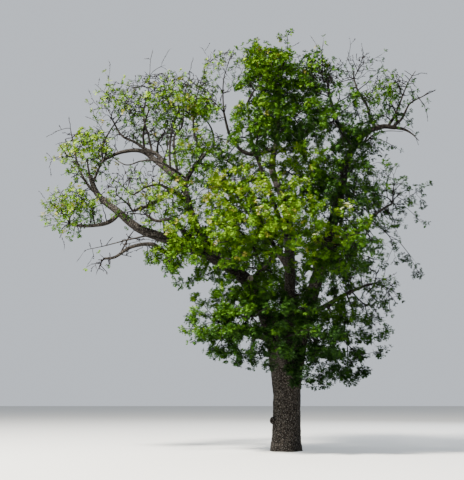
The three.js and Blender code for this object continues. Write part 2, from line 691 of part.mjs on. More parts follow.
// The core of a dense mass: twelve corners, each a share of the way to the edge of its space. It shrinks
// until it touches no limb and no other mass's stem, and is left out if that makes it too small.
function coreOf(mass) {
  for (let share = mass.core; share > FINEST_CORE; share *= CORE_SHRINK) {
    const core = new THREE.IcosahedronGeometry(1, 0);
    const position = core.getAttribute("position");
    for (let i = 0; i < position.count; i++) {
      const direction = new THREE.Vector3().fromBufferAttribute(position, i);
      const corner = vector(mass.centre).addScaledVector(direction, share * edgeOf(mass, direction));
      position.setXYZ(i, corner.x, corner.y, corner.z);
    }
    const solid = solidOf(core);
    if (!touchesWood(solid, mass.name)) return { solid, share };
  }
  return null;
}

// The places of a shoot's or stem's wood that others can grow from, each of them once.
function woodAlong(route, marks, back, length, radius) {
  return marks.map((t) => ({
    place: route.getPoint(t),
    back: back + t * length,
    along: route.getTangent(t),
    radius,
  }));
}

// Leaves that stand off a core, evenly all round, as long as the mass's space allows.
function leavesOnCore(mass, share, blades, random) {
  const leaves = [];
  for (const direction of evenDirections(Math.round(mass.leaves * CORE_TRIES), random)) {
    const edge = edgeOf(mass, direction);
    const root = vector(mass.centre).addScaledVector(direction, CORE_ROOT * share * edge);
    const length = Math.min(LONGEST_LEAF, edge * (CORE_LEAF_TIP - CORE_ROOT * share));
    const leaf = leaves.length < mass.leaves && sideLeaf(mass, root, direction, length, blades, random);
    if (leaf) leaves.push(leaf);
  }
  return leaves;
}

// Leaves that stand off the wood between the shoots, at random, each at a place of its own.
function leavesOnWood(mass, places, blades, random) {
  const leaves = [];
  for (let k = 0; leaves.length < mass.leaves && k < mass.leaves * WOOD_TRIES && places.length; k++) {
    const from = places[Math.floor(random() * places.length)];
    const turn = random() * 2 * Math.PI;
    const [across, over] = squareTo(from.along);
    const direction = from.along
      .clone()
      .multiplyScalar(THREE.MathUtils.lerp(...LEAF_FORWARD, random()))
      .addScaledVector(across, Math.cos(turn))
      .addScaledVector(over, Math.sin(turn))
      .normalize();
    const longest = Math.min(LONGEST_LEAF, mass.reach * LEAF_SHARE);
    const length = longest * THREE.MathUtils.lerp(...LEAF_LENGTHS, random());
    const leaf = sideLeaf(mass, from.place, direction, length, blades, random);
    if (!leaf) continue;
    leaves.push(leaf);
    places.splice(places.indexOf(from), 1);
  }
  return leaves;
}

// One mass of foliage, grown by the rule: a shoot springs from the nearest wood, counted with a share of
// the way back to the limb, and bends to its tip. The far tips come first, then tips all round that lie a
// little inside the edge of the mass's space.
function growMass(mass, seed) {
  const random = seeded(seed);
  const stem = stems.get(mass.name);
  const places = woodAlong(stem.route, STEM_MARKS, 0, stem.route.getLength(), stem.radiusAt(1));
  const clear = [...limbs.values()].reduce((solid, limb) => solid.subtract(limb.cutter), stemSolid(stem, 0));
  const solids = [largestBody(clear)];
  const core = coreOf(mass);
  if (core) solids.push(core.solid);
  const blades = [];
  const growShoot = (tip, kind) => {
    const cost = (w) => w.place.distanceTo(tip) + WAY_BACK_WEIGHT * w.back;
    const from = places.reduce((best, w) => (cost(w) < cost(best) ? w : best));
    const shoot = shootTo(mass, from, tip, kind, blades, random);
    if (!shoot) return false;
    solids.push(shoot.solid);
    places.splice(places.indexOf(from), 1);
    const woody = shoot.leaf ? 1 - shoot.leaf / shoot.length : WOODY_SHARE;
    const marks = SHOOT_MARKS.map((t) => t * woody);
    const radius = shoot.twig * SHOOT_THINNING;
    places.push(...woodAlong(shoot.route, marks, from.back, shoot.length, radius));
    return true;
  };
  for (const tip of mass.tips) growShoot(vector(tip), { leafy: mass.leaves > 0, far: true });
  let shoots = 0;
  for (const direction of evenDirections(mass.shoots * TRIES, random)) {
    const reach = edgeOf(mass, direction) * THREE.MathUtils.lerp(...TIP_REACH, random());
    const tip = vector(mass.centre).addScaledVector(direction, reach);
    const leafy = mass.leaves > 0 && (mass.leaves > SPARSE || shoots % 2 === 0);
    if (shoots < mass.shoots && growShoot(tip, { leafy, far: false })) shoots++;
  }
  solids.push(
    ...(core ? leavesOnCore(mass, core.share, blades, random) : leavesOnWood(mass, places, blades, random)),
  );
  return largestBody(wasm.Manifold.union(solids));
}

const tree = new THREE.Group();
function addMesh(name, solid, material) {
  const mesh = new THREE.Mesh(geometryOf(solid), material.clone());
  mesh.name = name;
  tree.add(mesh);
}
for (const [name, limb] of limbs) addMesh(name, limb.solid, bark);
MASSES.forEach((mass, i) => addMesh(mass.name, growMass(mass, 101 + i), foliage));

export default tree;
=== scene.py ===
# %% [markdown]
# # An old service tree in spring leaf
#
# A short thick trunk carries three stems. The left side of the crown is open: long crooked boughs with many
# bare twigs and small tufts of yellow-green leaves. The middle and the right are dense and darker.
#
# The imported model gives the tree's place and size, and hides behind what is made here: bark with real
# relief for the trunk and boughs, and fine twigs, leaves and blossom for each mass of foliage. Everything
# grows by the rules of the part's own source, carried on to finer wood.

import math

import bpy
import numpy as np
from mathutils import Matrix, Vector


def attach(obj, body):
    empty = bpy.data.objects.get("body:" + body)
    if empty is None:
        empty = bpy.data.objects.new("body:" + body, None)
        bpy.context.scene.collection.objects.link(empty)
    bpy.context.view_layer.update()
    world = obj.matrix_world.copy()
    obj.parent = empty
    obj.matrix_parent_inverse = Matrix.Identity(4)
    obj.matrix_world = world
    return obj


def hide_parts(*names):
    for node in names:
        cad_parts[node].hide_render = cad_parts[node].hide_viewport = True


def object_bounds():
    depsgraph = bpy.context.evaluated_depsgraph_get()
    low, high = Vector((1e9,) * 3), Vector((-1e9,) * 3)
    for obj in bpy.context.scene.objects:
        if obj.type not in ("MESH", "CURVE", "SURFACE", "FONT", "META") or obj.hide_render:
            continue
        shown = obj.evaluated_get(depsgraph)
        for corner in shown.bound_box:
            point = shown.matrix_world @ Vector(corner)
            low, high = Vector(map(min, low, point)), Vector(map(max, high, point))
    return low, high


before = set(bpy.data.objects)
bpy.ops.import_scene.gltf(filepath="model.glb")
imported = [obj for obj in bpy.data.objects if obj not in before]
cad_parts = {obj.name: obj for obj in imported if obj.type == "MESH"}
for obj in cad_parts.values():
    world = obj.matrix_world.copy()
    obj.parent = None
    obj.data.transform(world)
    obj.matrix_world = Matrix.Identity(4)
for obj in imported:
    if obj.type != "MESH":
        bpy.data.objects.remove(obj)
cad_box = [list(corner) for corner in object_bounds()]
print("nodes", len(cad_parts), "box", cad_box)

# %% [markdown]
# ## The camera
#
# The picture was taken from eye height on level ground, a good way off, and tipped up to hold the crown. A
# level line of sight meets the picture low down, and the tilt follows from how far below the middle that is.

# %% Camera
EYE = Vector((-1.765, -27.248, 1.65))
TILT = math.radians(11.31)
LENS = 60

bpy.ops.object.camera_add(location=EYE, rotation=(math.pi / 2 + TILT, 0, 0))
camera = bpy.context.object
camera.data.lens = LENS
camera.data.clip_end = 500
bpy.context.scene.camera = camera
print("camera", tuple(round(v, 2) for v in camera.location))

# %% [markdown]
# ## Floor and light
#
# One broad lamp stands high on the left and in front, where the light on the crown comes from. A pale
# surround fills the shade, and a weaker and softer lamp behind keeps the far side readable.

# %% Floor and light
FLOOR_SIZE = 400
FLOOR_COLOUR = (0.56, 0.56, 0.54, 1)
FLOOR_ROUGHNESS = 0.9
SURROUND, SURROUND_STRENGTH = (0.76, 0.81, 0.88, 1), 0.88


def deselect():
    bpy.ops.object.select_all(action="DESELECT")


def lamp(name, place, aim, size, power, colour):
    """A square soft lamp that faces its aim."""
    bpy.ops.object.light_add(type="AREA", location=place)
    light = bpy.context.object
    light.name = name
    light.rotation_euler = (Vector(aim) - Vector(place)).to_track_quat("-Z", "Y").to_euler()
    light.data.size = size
    light.data.energy = power
    light.data.color = colour
    return light


deselect()
bpy.ops.mesh.primitive_plane_add(size=FLOOR_SIZE)
floor = bpy.context.object
floor.name = "floor"
floor_material = bpy.data.materials.new("floor_plain")
floor_material.use_nodes = True
floor_shader = floor_material.node_tree.nodes["Principled BSDF"]
floor_shader.inputs["Base Color"].default_value = FLOOR_COLOUR
floor_shader.inputs["Roughness"].default_value = FLOOR_ROUGHNESS
floor.data.materials.append(floor_material)

lamp("key_lamp", (-20, -17, 34), (-0.5, 0, 8), 6, 105000, (1.0, 0.95, 0.86))
lamp("back_lamp", (16, 26, 22), (0, 0, 8), 14, 11000, (0.86, 0.92, 1.0))

world = bpy.data.worlds.new("surround")
bpy.context.scene.world = world
world.use_nodes = True
background = world.node_tree.nodes["Background"]
background.inputs["Color"].default_value = SURROUND
background.inputs["Strength"].default_value = SURROUND_STRENGTH

# %% [markdown]
# ## Building with shader nodes
#
# Finishes are built from nodes, so a few helpers add nodes with their values, link them and wrap them into
# groups.

# %% Node helpers
COLOUR, NUMBER, VECTOR = "NodeSocketColor", "NodeSocketFloat", "NodeSocketVector"


def node_group(name, inputs, outputs):
    """An empty shader group with named sockets: its tree, its given values and its result."""
    group = bpy.data.node_groups.new(name, "ShaderNodeTree")
    for way, sockets in (("INPUT", inputs), ("OUTPUT", outputs)):
        for title, kind in sockets.items():
            group.interface.new_socket(title, in_out=way, socket_type=kind)
    return group, group.nodes.new("NodeGroupInput"), group.nodes.new("NodeGroupOutput")


def add_node(tree, kind, **values):
    """A shader node with some of its inputs set. An underscore stands for the space in a name."""
    node = tree.nodes.new("ShaderNode" + kind)
    for title, value in values.items():
        node.inputs[title.replace("_", " ")].default_value = value
    return node


def colour_mix(tree):
    mix = add_node(tree, "Mix")
    mix.data_type = "RGBA"
    return mix


def wire(tree, *links):
    """Links sockets. Each link is a node and its output, then a node and its input."""
    for source, output, target, socket in links:
        tree.links.new(source.outputs[output], target.inputs[socket])

# %% [markdown]
# ## Two effects that several finishes use
#
# Nothing on a tree is one flat colour. The first group, "mottle", drifts between two colours in soft
# patches: lichen, dust, older and younger leaf. The second, "scales", gives the small blocky plates of old
# bark: a mask that is dark in the cracks, and the height that goes with it.

# %% Node groups
MOTTLE_SOFTNESS, MOTTLE_DETAIL = 0.12, 3
CRACK_WIDTH = 0.16
CRUMB_SCALE, CRUMB_DETAIL, CRUMB_HEIGHT = 60, 4, 0.35


def make_mottle():
    """Soft patches between two colours, on Object coordinates."""
    sockets = {"First": COLOUR, "Second": COLOUR, "Scale": NUMBER, "Balance": NUMBER}
    group, given, result = node_group("mottle", sockets, {"Color": COLOUR, "Mask": NUMBER})
    place = add_node(group, "TexCoord")
    noise = add_node(group, "TexNoise", Detail=MOTTLE_DETAIL)
    steep, mix = add_node(group, "MapRange"), colour_mix(group)
    for shift, socket in ((-MOTTLE_SOFTNESS, "From Min"), (MOTTLE_SOFTNESS, "From Max")):
        edge = add_node(group, "Math")
        edge.inputs[1].default_value = shift
        wire(group, (given, "Balance", edge, 0), (edge, "Value", steep, socket))
    wire(
        group,
        (place, "Object", noise, "Vector"), (given, "Scale", noise, "Scale"), (noise, "Fac", steep, "Value"),
        (steep, "Result", mix, "Factor"), (given, "First", mix, "A"), (given, "Second", mix, "B"),
        (mix, "Result", result, "Color"), (steep, "Result", result, "Mask"),
    )
    return group


def make_scales():
    """Blocky bark plates: 0 in a crack, 1 on a plate, with crumbs of fine noise on top."""
    sockets = {"Scale": NUMBER, "Stretch": VECTOR}
    group, given, result = node_group("scales", sockets, {"Mask": NUMBER, "Height": NUMBER})
    place, stretch = add_node(group, "TexCoord"), add_node(group, "VectorMath")
    stretch.operation = "MULTIPLY"
    cells = add_node(group, "TexVoronoi")
    cells.feature = "DISTANCE_TO_EDGE"
    steep = add_node(group, "MapRange", From_Max=CRACK_WIDTH)
    crumbs = add_node(group, "TexNoise", Scale=CRUMB_SCALE, Detail=CRUMB_DETAIL)
    both = add_node(group, "Math")
    both.operation = "MULTIPLY_ADD"
    both.inputs[1].default_value = CRUMB_HEIGHT
    wire(
        group,
        (place, "Object", stretch, 0), (given, "Stretch", stretch, 1), (stretch, "Vector", cells, "Vector"),
        (given, "Scale", cells, "Scale"), (cells, "Distance", steep, "Value"),
        (place, "Object", crumbs, "Vector"), (crumbs, "Fac", both, 0), (steep, "Result", both, 2),
        (steep, "Result", result, "Mask"), (both, "Value", result, "Height"),
    )
    return group


mottle, scales = make_mottle(), make_scales()
print("groups", mottle.name, scales.name)

# %% [markdown]
# ## Bark, twig, leaf and blossom
#
# Bark is dark grey-brown with light grey flecks on the faces of its plates and nearly black cracks, the
# furrows' own darker bark with painted shade in them. The colour of a spray is picked from a few plain greens,
# each with a younger tint: they run from painted deep shade through the leaves' own greens to painted
# sunlight, then young leaves.

# %% Colours
# the crack colour is the furrows' own darker bark with painted shade in them
BARK_DARK, BARK_PALE, CRACK_AND_PAINTED_SHADE = (0.012, 0.010, 0.009), (0.036, 0.030, 0.025), (0.003, 0.0026, 0.0022)
BARK_FLECK, FLECK_BALANCE = (0.17, 0.16, 0.145), 0.62
TWIG_DARK, TWIG_PALE = (0.006, 0.005, 0.005), (0.020, 0.017, 0.016)
CUT_WOOD, CUT_EDGE = (0.19, 0.17, 0.14), (0.11, 0.10, 0.085)
BLOSSOM, BLOSSOM_SHADE = (0.52, 0.54, 0.34), (0.36, 0.40, 0.20)

# from deepest to lightest, painted deep shade through the leaves' own greens to painted sunlight, then young
# leaves: name, green, younger tint
GREENS = [
    ("leaf_painted_deep_shade", (0.006, 0.020, 0.003), (0.010, 0.030, 0.005)),
    ("leaf_painted_shade", (0.013, 0.040, 0.004), (0.021, 0.058, 0.006)),
    ("leaf_green", (0.030, 0.080, 0.004), (0.044, 0.106, 0.005)),
    ("leaf_fresh", (0.066, 0.142, 0.004), (0.095, 0.180, 0.006)),
    ("leaf_painted_sunlight", (0.130, 0.215, 0.008), (0.185, 0.265, 0.012)),
    ("leaf_young", (0.190, 0.210, 0.024), (0.170, 0.150, 0.030)),
]
print("greens", [name for name, _, _ in GREENS])

# %% [markdown]
# ## Finishes
#
# One function makes the barks of trunk and boughs, from plates, patches and flecks. Another makes all that
# is soft or thin: leaves, petals and twigs are matt and drift a little between two colours. Each green is a
# material of its own, the greens of painted shade and painted sunlight as well.

# %% Materials
SHEEN, BARK_ROUGHNESS, LEAF_ROUGHNESS = 0.05, 0.92, 0.62
PLATE_STRETCH, PATCH_SCALE, FLECK_SCALE, EVEN = (1.0, 1.0, 0.6), 0.6, 2.2, 0.5
BARK_BUMP_DEPTH, SOFT_BUMP = 0.02, 0.15
LEAF_DRIFT_SCALE = 3.5


def new_material(name, roughness):
    """A material, as itself, its nodes and its Principled shader."""
    material = bpy.data.materials.new(name)
    material.use_nodes = True
    shader = material.node_tree.nodes["Principled BSDF"]
    shader.inputs["Roughness"].default_value = roughness
    shader.inputs["Specular IOR Level"].default_value = SHEEN
    return material, material.node_tree, shader


def add_group(tree, group, **values):
    """A group placed in a material, with its own values."""
    node = tree.nodes.new("ShaderNodeGroup")
    node.node_tree = group
    for title, value in values.items():
        node.inputs[title].default_value = (*value, 1) if title in ("First", "Second") else value
    return node


def bark_material(name, plate_scale, bump):
    """Mottled plates with pale flecks and nearly black cracks, the furrows' own darker bark with painted shade
    in them, and their relief.
    """
    material, tree, shader = new_material(name, BARK_ROUGHNESS)
    plates = add_group(tree, scales, Scale=plate_scale, Stretch=PLATE_STRETCH)
    patches = add_group(
        tree, mottle, First=BARK_DARK, Second=BARK_PALE, Scale=plate_scale * PATCH_SCALE, Balance=EVEN)
    flecks = add_group(
        tree, mottle, Second=BARK_FLECK, Scale=plate_scale * FLECK_SCALE, Balance=FLECK_BALANCE)
    # nearly black in the cracks: painted shade on top of the furrows' darker bark
    crack = colour_mix(tree)
    crack.inputs["A"].default_value = (*CRACK_AND_PAINTED_SHADE, 1)
    relief = add_node(tree, "Bump", Strength=bump, Distance=BARK_BUMP_DEPTH)
    wire(
        tree,
        (patches, "Color", flecks, "First"), (flecks, "Color", crack, "B"), (plates, "Mask", crack, "Factor"),
        (crack, "Result", shader, "Base Color"),
        (plates, "Height", relief, "Height"), (relief, "Normal", shader, "Normal"),
    )
    return material


def soft_material(name, first, second, scale, roughness=LEAF_ROUGHNESS):
    """Two close colours that drift into each other, for leaves, petals and thin twigs."""
    material, tree, shader = new_material(name, roughness)
    patches = add_group(tree, mottle, First=first, Second=second, Scale=scale, Balance=EVEN)
    relief = add_node(tree, "Bump", Strength=SOFT_BUMP)
    wire(
        tree,
        (patches, "Color", shader, "Base Color"), (patches, "Mask", relief, "Height"),
        (relief, "Normal", shader, "Normal"),
    )
    return material


trunk_bark = bark_material("trunk_bark", 17, 0.9)
bough_bark = bark_material("bough_bark", 24, 0.8)
twig_bark = soft_material("twig_bark", TWIG_DARK, TWIG_PALE, 9, 0.85)
cut_wood = soft_material("cut_wood", CUT_WOOD, CUT_EDGE, 40, 0.8)
blossom_cream = soft_material("blossom_cream", BLOSSOM, BLOSSOM_SHADE, 12, 0.7)
leaf_materials = [soft_material(name, first, second, LEAF_DRIFT_SCALE) for name, first, second in GREENS]
print("materials", len(bpy.data.materials))

# %% [markdown]
# ## The plan of the limbs
#
# Each limb springs from another one, at a share of that one's length, and passes a few places. "root" and
# "tip" are its radii at its ends, and ASIDE moves a root off the middle of the trunk. These are the source's
# own dimensions, in metres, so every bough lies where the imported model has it.

# %% Limbs
# name, from, at, root, tip, through
LIMBS = [
    ("bough_left_low", "trunk", 0.8, 0.29, 0.085, [
        (-0.43, -0.4, 3.78), (-1.1, -0.9, 5.33), (-2.33, -1.1, 6.27), (-3.77, -1.0, 6.87),
        (-4.88, -0.8, 7.32), (-5.66, -0.6, 7.96), (-6.4, -0.4, 8.61), (-6.72, -0.3, 9.32)]),
    ("stem_middle", "trunk", 0.82, 0.24, 0.06, [
        (0.19, 0.4, 4.18), (0.27, 0.5, 6.13), (0.19, 0.4, 8.27), (-0.13, 0.3, 9.12),
        (-0.34, 0.2, 9.83), (-0.16, 0.1, 10.84), (-0.14, 0.1, 11.82), (-0.24, 0.1, 12.58)]),
    ("stem_right", "trunk", 0.8, 0.27, 0.075, [
        (0.67, 0.05, 4.17), (1.23, 0.2, 5.92), (1.8, 0.25, 7.81), (2.12, 0.2, 9.06),
        (2.4, 0.1, 10.15), (2.92, 0, 10.93), (3.55, -0.1, 11.19), (4.05, -0.1, 11.16)]),
    ("bough_left_riser", "bough_left_low", 0.345, 0.175, 0.05, [
        (-2.92, -0.7, 7.31), (-3.33, -0.3, 8.56), (-3.38, -0.1, 9.19), (-2.9, 0, 9.99), (-2.41, 0.1, 10.5)]),
    ("bough_left_shelf", "bough_left_riser", 0.56, 0.13, 0.055, [
        (-3.92, 0, 9.51), (-4.51, 0.2, 10.05), (-5.02, 0.2, 10.39), (-5.7, 0.2, 10.35), (-6.35, 0.1, 10.02)]),
    ("bough_left_inner", "bough_left_riser", 0.36, 0.095, 0.05, [
        (-3.83, -0.6, 8.7), (-4.22, -0.8, 8.36), (-4.63, -1.0, 8.07), (-5.08, -1.2, 7.85)]),
    ("bough_left_tip", "bough_left_low", 0.74, 0.085, 0.045, [
        (-6.0, -0.8, 7.53), (-6.69, -0.9, 7.4), (-7.23, -0.9, 7.47)]),
    ("bough_left_hanging", "bough_left_low", 0.45, 0.09, 0.042, [
        (-3.87, -1.5, 6.38), (-4.36, -1.8, 6.6), (-5.01, -1.95, 6.48), (-5.5, -2.0, 6.15),
        (-5.85, -2.05, 6.08)]),
    ("bough_middle_arch", "stem_middle", 0.705, 0.095, 0.04, [
        (-0.92, -0.1, 10.18), (-1.41, -0.3, 10.23), (-1.84, -0.4, 10.78), (-2.05, -0.4, 11.6)]),
    ("bough_right_fork", "stem_right", 0.75, 0.095, 0.042, [
        (2.12, -0.3, 11.1), (1.88, -0.5, 11.4), (1.7, -0.55, 12.1), (1.62, -0.5, 12.75)]),
    ("bough_right_spire", "stem_right", 0.84, 0.065, 0.03, [
        (3.25, 0.3, 11.6), (3.15, 0.35, 12.15), (2.85, 0.35, 12.7), (2.7, 0.35, 13.2)]),
    ("bough_right_side", "stem_right", 0.33, 0.08, 0.034, [
        (2.05, -0.5, 6.93), (2.62, -0.9, 7.4), (3.2, -1.1, 7.87), (3.62, -1.1, 8.13)]),
    ("bough_right_low", "stem_right", 0.14, 0.095, 0.036, [
        (1.81, 0.4, 5.05), (2.68, 0.5, 5.49), (3.23, 0.5, 5.66)]),
    ("bough_left_skirt", "bough_left_low", 0.1, 0.09, 0.034, [
        (-1.17, -0.6, 3.86), (-1.55, -0.76, 3.93), (-1.85, -0.88, 3.96)]),
    ("bough_front", "trunk", 0.84, 0.165, 0.045, [
        (-0.48, -1.05, 4.2), (-1.03, -1.7, 5.36), (-0.69, -2.2, 5.84), (-0.4, -2.7, 6.2)]),
    ("bough_front_top", "stem_middle", 0.3, 0.1, 0.036, [
        (-0.09, -1.0, 7.41), (-0.65, -1.7, 8.75), (-1.08, -1.6, 10.11), (-1.25, -1.35, 11.6)]),
    ("bough_back_left", "stem_middle", 0.25, 0.115, 0.042, [
        (-0.37, 1.6, 7.41), (-1.06, 2.35, 8.5), (-1.48, 2.72, 9.15)]),
    ("bough_back_right", "stem_right", 0.28, 0.105, 0.04, [
        (2.05, 1.5, 7.49), (2.45, 2.4, 8.6), (2.42, 2.75, 9.35)]),
]
ASIDE = {
    "bough_left_low": (-0.23, -0.11, 0),
    "stem_middle": (0.03, 0.21, 0),
    "stem_right": (0.24, -0.07, 0),
    "bough_front": (-0.06, -0.25, 0),
}
print("limbs planned", len(LIMBS))

# %% [markdown]
# ## Routes and radii
#
# A limb follows the smooth curve through its places and thins towards its tip. The trunk leans a little and
# bends back. It flares at the roots, swells under the stems and closes in a low dome between them.

# %% Routes
TRUNK_HEIGHT, TRUNK_RADIUS, TRUNK_LEAN, LEAN_BEND = 2.95, 0.46, 0.07, 2.2
ROOT_FLARE, ROOT_FLARE_HEIGHT = 0.08, 0.38
HEAD_SWELL, HEAD_START, HEAD_CURVE = 0.12, 0.55, 1.5
DOME_START, DOME_DROP = 0.86, 0.8
LIMB_TAPER = 1.15
UP = np.array([0.0, 0.0, 1.0])


def along(places, t):
    """Places on the smooth curve through some places, at shares t of it."""
    places = np.asarray(places, float)
    padded = np.vstack([2 * places[0] - places[1], places, 2 * places[-1] - places[-2]])
    steps = np.clip(t, 0, 1) * (len(places) - 1)
    i = np.minimum(steps.astype(int), len(places) - 2)
    w = (steps - i)[..., None]
    a, b, c, d = (padded[i + k] for k in range(4))
    start = (2 * w**3 - 3 * w**2 + 1) * b + (w**3 - 2 * w**2 + w) * (c - a) / 2
    return start + (3 * w**2 - 2 * w**3) * c + (w**3 - w**2) * (d - b) / 2


def unit(vectors):
    """Vectors cut or drawn out to length one."""
    return vectors / np.maximum(np.linalg.norm(vectors, axis=-1, keepdims=True), 1e-9)


def trunk_radius(t):
    """The trunk's radius at shares of its height: flared at the roots, swollen under the stems."""
    head = np.clip((t - HEAD_START) / (1 - HEAD_START), 0, 1)
    dome = np.clip((t - DOME_START) / (1 - DOME_START), 0, 1)
    flare = ROOT_FLARE * np.exp(-t * TRUNK_HEIGHT / ROOT_FLARE_HEIGHT)
    return (TRUNK_RADIUS + flare + HEAD_SWELL * head**HEAD_CURVE) * np.sqrt(1 - DOME_DROP * dome**2)


class Limb:
    """A limb's route, as the places that it passes, and its radius along it."""

    def __init__(self, places, radius_at):
        self.places, self.radius_at = places, radius_at

    def at(self, t):
        return along(self.places, np.asarray(t, float))

    def direction(self, t, step=1e-3):
        return unit(self.at(np.minimum(t + step, 1.0)) - self.at(np.maximum(t - step, 0.0)))


trunk_marks = np.array([0, 0.35, 0.7, 1.0])
trunk_places = np.stack(
    [TRUNK_LEAN * np.sin(LEAN_BEND * trunk_marks), 0 * trunk_marks, TRUNK_HEIGHT * trunk_marks], axis=1
)
limbs = {"trunk": Limb(trunk_places, trunk_radius)}


def add_limb(name, source, at, root, tip, through):
    """Adds a limb that springs from another one and thins towards its tip."""
    start = limbs[source].at(at) + np.array(ASIDE.get(name, (0, 0, 0)))
    limbs[name] = Limb(np.vstack([start, through]), lambda t: tip + (root - tip) * (1 - t) ** LIMB_TAPER)


for row in LIMBS:
    add_limb(*row)
print("limbs", len(limbs))

# %% [markdown]
# ## Relief of the bark
#
# Two displacements raise the bark, in proportion to how thick the wood is: broad lumps, then small plates
# with cracks between them. The helpers here also apply a piece's place and join pieces into one.

# %% Relief
LUMP_SIZE, LUMP_HEIGHT, LUMP_MIDDLE = 0.34, 0.10, 0.5
PLATE_SIZE, PLATE_HEIGHT, PLATE_MOST, PLATE_MIDDLE = 0.055, 0.07, 0.022, 0.3


def apply_place():
    bpy.ops.object.transform_apply(location=True, rotation=True, scale=True)


def join(pieces):
    """Joins pieces into the first one."""
    deselect()
    for piece in pieces:
        piece.select_set(True)
    bpy.context.view_layer.objects.active = pieces[0]
    bpy.ops.object.join()
    return pieces[0]


def relief_texture(name, kind, size):
    """A solid texture for Displace: clouds for lumps, or cells for bark plates."""
    texture = bpy.data.textures.new(name, type=kind)
    texture.noise_scale = size
    if kind == "VORONOI":
        texture.weight_1, texture.weight_2 = -1, 1
    return texture


lumps = relief_texture("bark_lumps", "CLOUDS", LUMP_SIZE)
plates = relief_texture("bark_plates", "VORONOI", PLATE_SIZE)


def displace(piece, texture, strength, middle):
    """Raises a piece's surface by a texture, and applies it."""
    modifier = piece.modifiers.new(texture.name, "DISPLACE")
    modifier.texture = texture
    modifier.texture_coords = "LOCAL"
    modifier.strength = strength
    modifier.mid_level = middle
    bpy.context.view_layer.objects.active = piece
    bpy.ops.object.modifier_apply(modifier=modifier.name)


def rough_bark(piece, thickness):
    """Lumps and plates in proportion to how thick the wood is."""
    displace(piece, lumps, LUMP_HEIGHT * thickness, LUMP_MIDDLE)
    displace(piece, plates, min(PLATE_MOST, PLATE_HEIGHT * thickness), PLATE_MIDDLE)


def vertex_places(mesh):
    places = np.empty(len(mesh.vertices) * 3)
    mesh.vertices.foreach_get("co", places)
    return places.reshape(-1, 3)


print("relief", lumps.name, plates.name)

# %% [markdown]
# ## The trunk
#
# The trunk starts as a plain cylinder. Its sides are cut into many rings, each ring takes the trunk's own
# radius, with low buttresses at its foot, and the bark is raised. The foot stays a flat cut at ground level.
# The burl is a lump of its own that is joined on.

# %% Trunk
TRUNK_SIDES, TRUNK_RINGS = 200, 190
BUTTRESS_COUNT, BUTTRESS_DEPTH = 5, 0.06
BURL_PLACE, BURL_RADIUS = (-0.415, -0.17, 0.99), 0.118
BURL_LUMPS = 0.08
SHARP_ANGLE = math.radians(40)


def mode(name):
    bpy.ops.object.mode_set(mode=name)


def make_trunk():
    deselect()
    bpy.ops.mesh.primitive_cylinder_add(vertices=TRUNK_SIDES, radius=1, depth=1, location=(0, 0, 0.5))
    piece = bpy.context.object
    piece.name = "trunk_bark_relief"
    apply_place()
    mode("EDIT")
    bpy.ops.mesh.select_mode(type="EDGE")
    bpy.ops.mesh.select_all(action="DESELECT")
    mode("OBJECT")
    for edge in piece.data.edges:
        low, high = (piece.data.vertices[v].co.z for v in edge.vertices)
        edge.select = abs(high - low) > 0.5
    mode("EDIT")
    bpy.ops.mesh.subdivide(number_cuts=TRUNK_RINGS)
    mode("OBJECT")
    places = vertex_places(piece.data)
    t = places[:, 2]
    ridges = np.cos(BUTTRESS_COUNT * np.arctan2(places[:, 1], places[:, 0]))
    swell = 1 + BUTTRESS_DEPTH * np.exp(-t * TRUNK_HEIGHT / ROOT_FLARE_HEIGHT) * ridges
    radius = trunk_radius(t) * swell
    route = limbs["trunk"].at(t)
    places[:, 0] = route[:, 0] + places[:, 0] * radius
    places[:, 1] = places[:, 1] * radius
    places[:, 2] = t * TRUNK_HEIGHT
    piece.data.vertices.foreach_set("co", places.ravel())
    return piece


def make_burl():
    bpy.ops.mesh.primitive_ico_sphere_add(subdivisions=5, radius=BURL_RADIUS, location=BURL_PLACE)
    burl = bpy.context.object
    apply_place()
    displace(burl, lumps, BURL_LUMPS, LUMP_MIDDLE)
    return burl


trunk = make_trunk()
rough_bark(trunk, TRUNK_RADIUS)
join([trunk, make_burl()])
places = vertex_places(trunk.data)
places[:, 2] = np.maximum(places[:, 2], 0)
trunk.data.vertices.foreach_set("co", places.ravel())
bpy.ops.object.shade_smooth_by_angle(angle=SHARP_ANGLE)
trunk.data.materials.append(trunk_bark)
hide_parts("trunk")
print("trunk faces", len(trunk.data.polygons), "foot at", round(places[:, 2].min(), 4))

# %% [markdown]
# ## Stems and boughs
#
# A bough is drawn as a path with a round section that thins towards its tip and swells into a collar where
# it leaves its parent, as branches do. The path becomes a mesh, and the same lumps and plates give it bark.

# %% Boughs
RING_SPACING = 0.055
COLLAR_SWELL, COLLAR_LENGTH = 0.22, 0.35
ROOT_NARROWING, ROOT_LENGTH = 0.32, 0.2
STOUT, STOUT_SIDES, THIN_SIDES = 0.2, 12, 6


def route_length(limb):
    return np.linalg.norm(np.diff(limb.at(np.linspace(0, 1, 80)), axis=0), axis=1).sum()


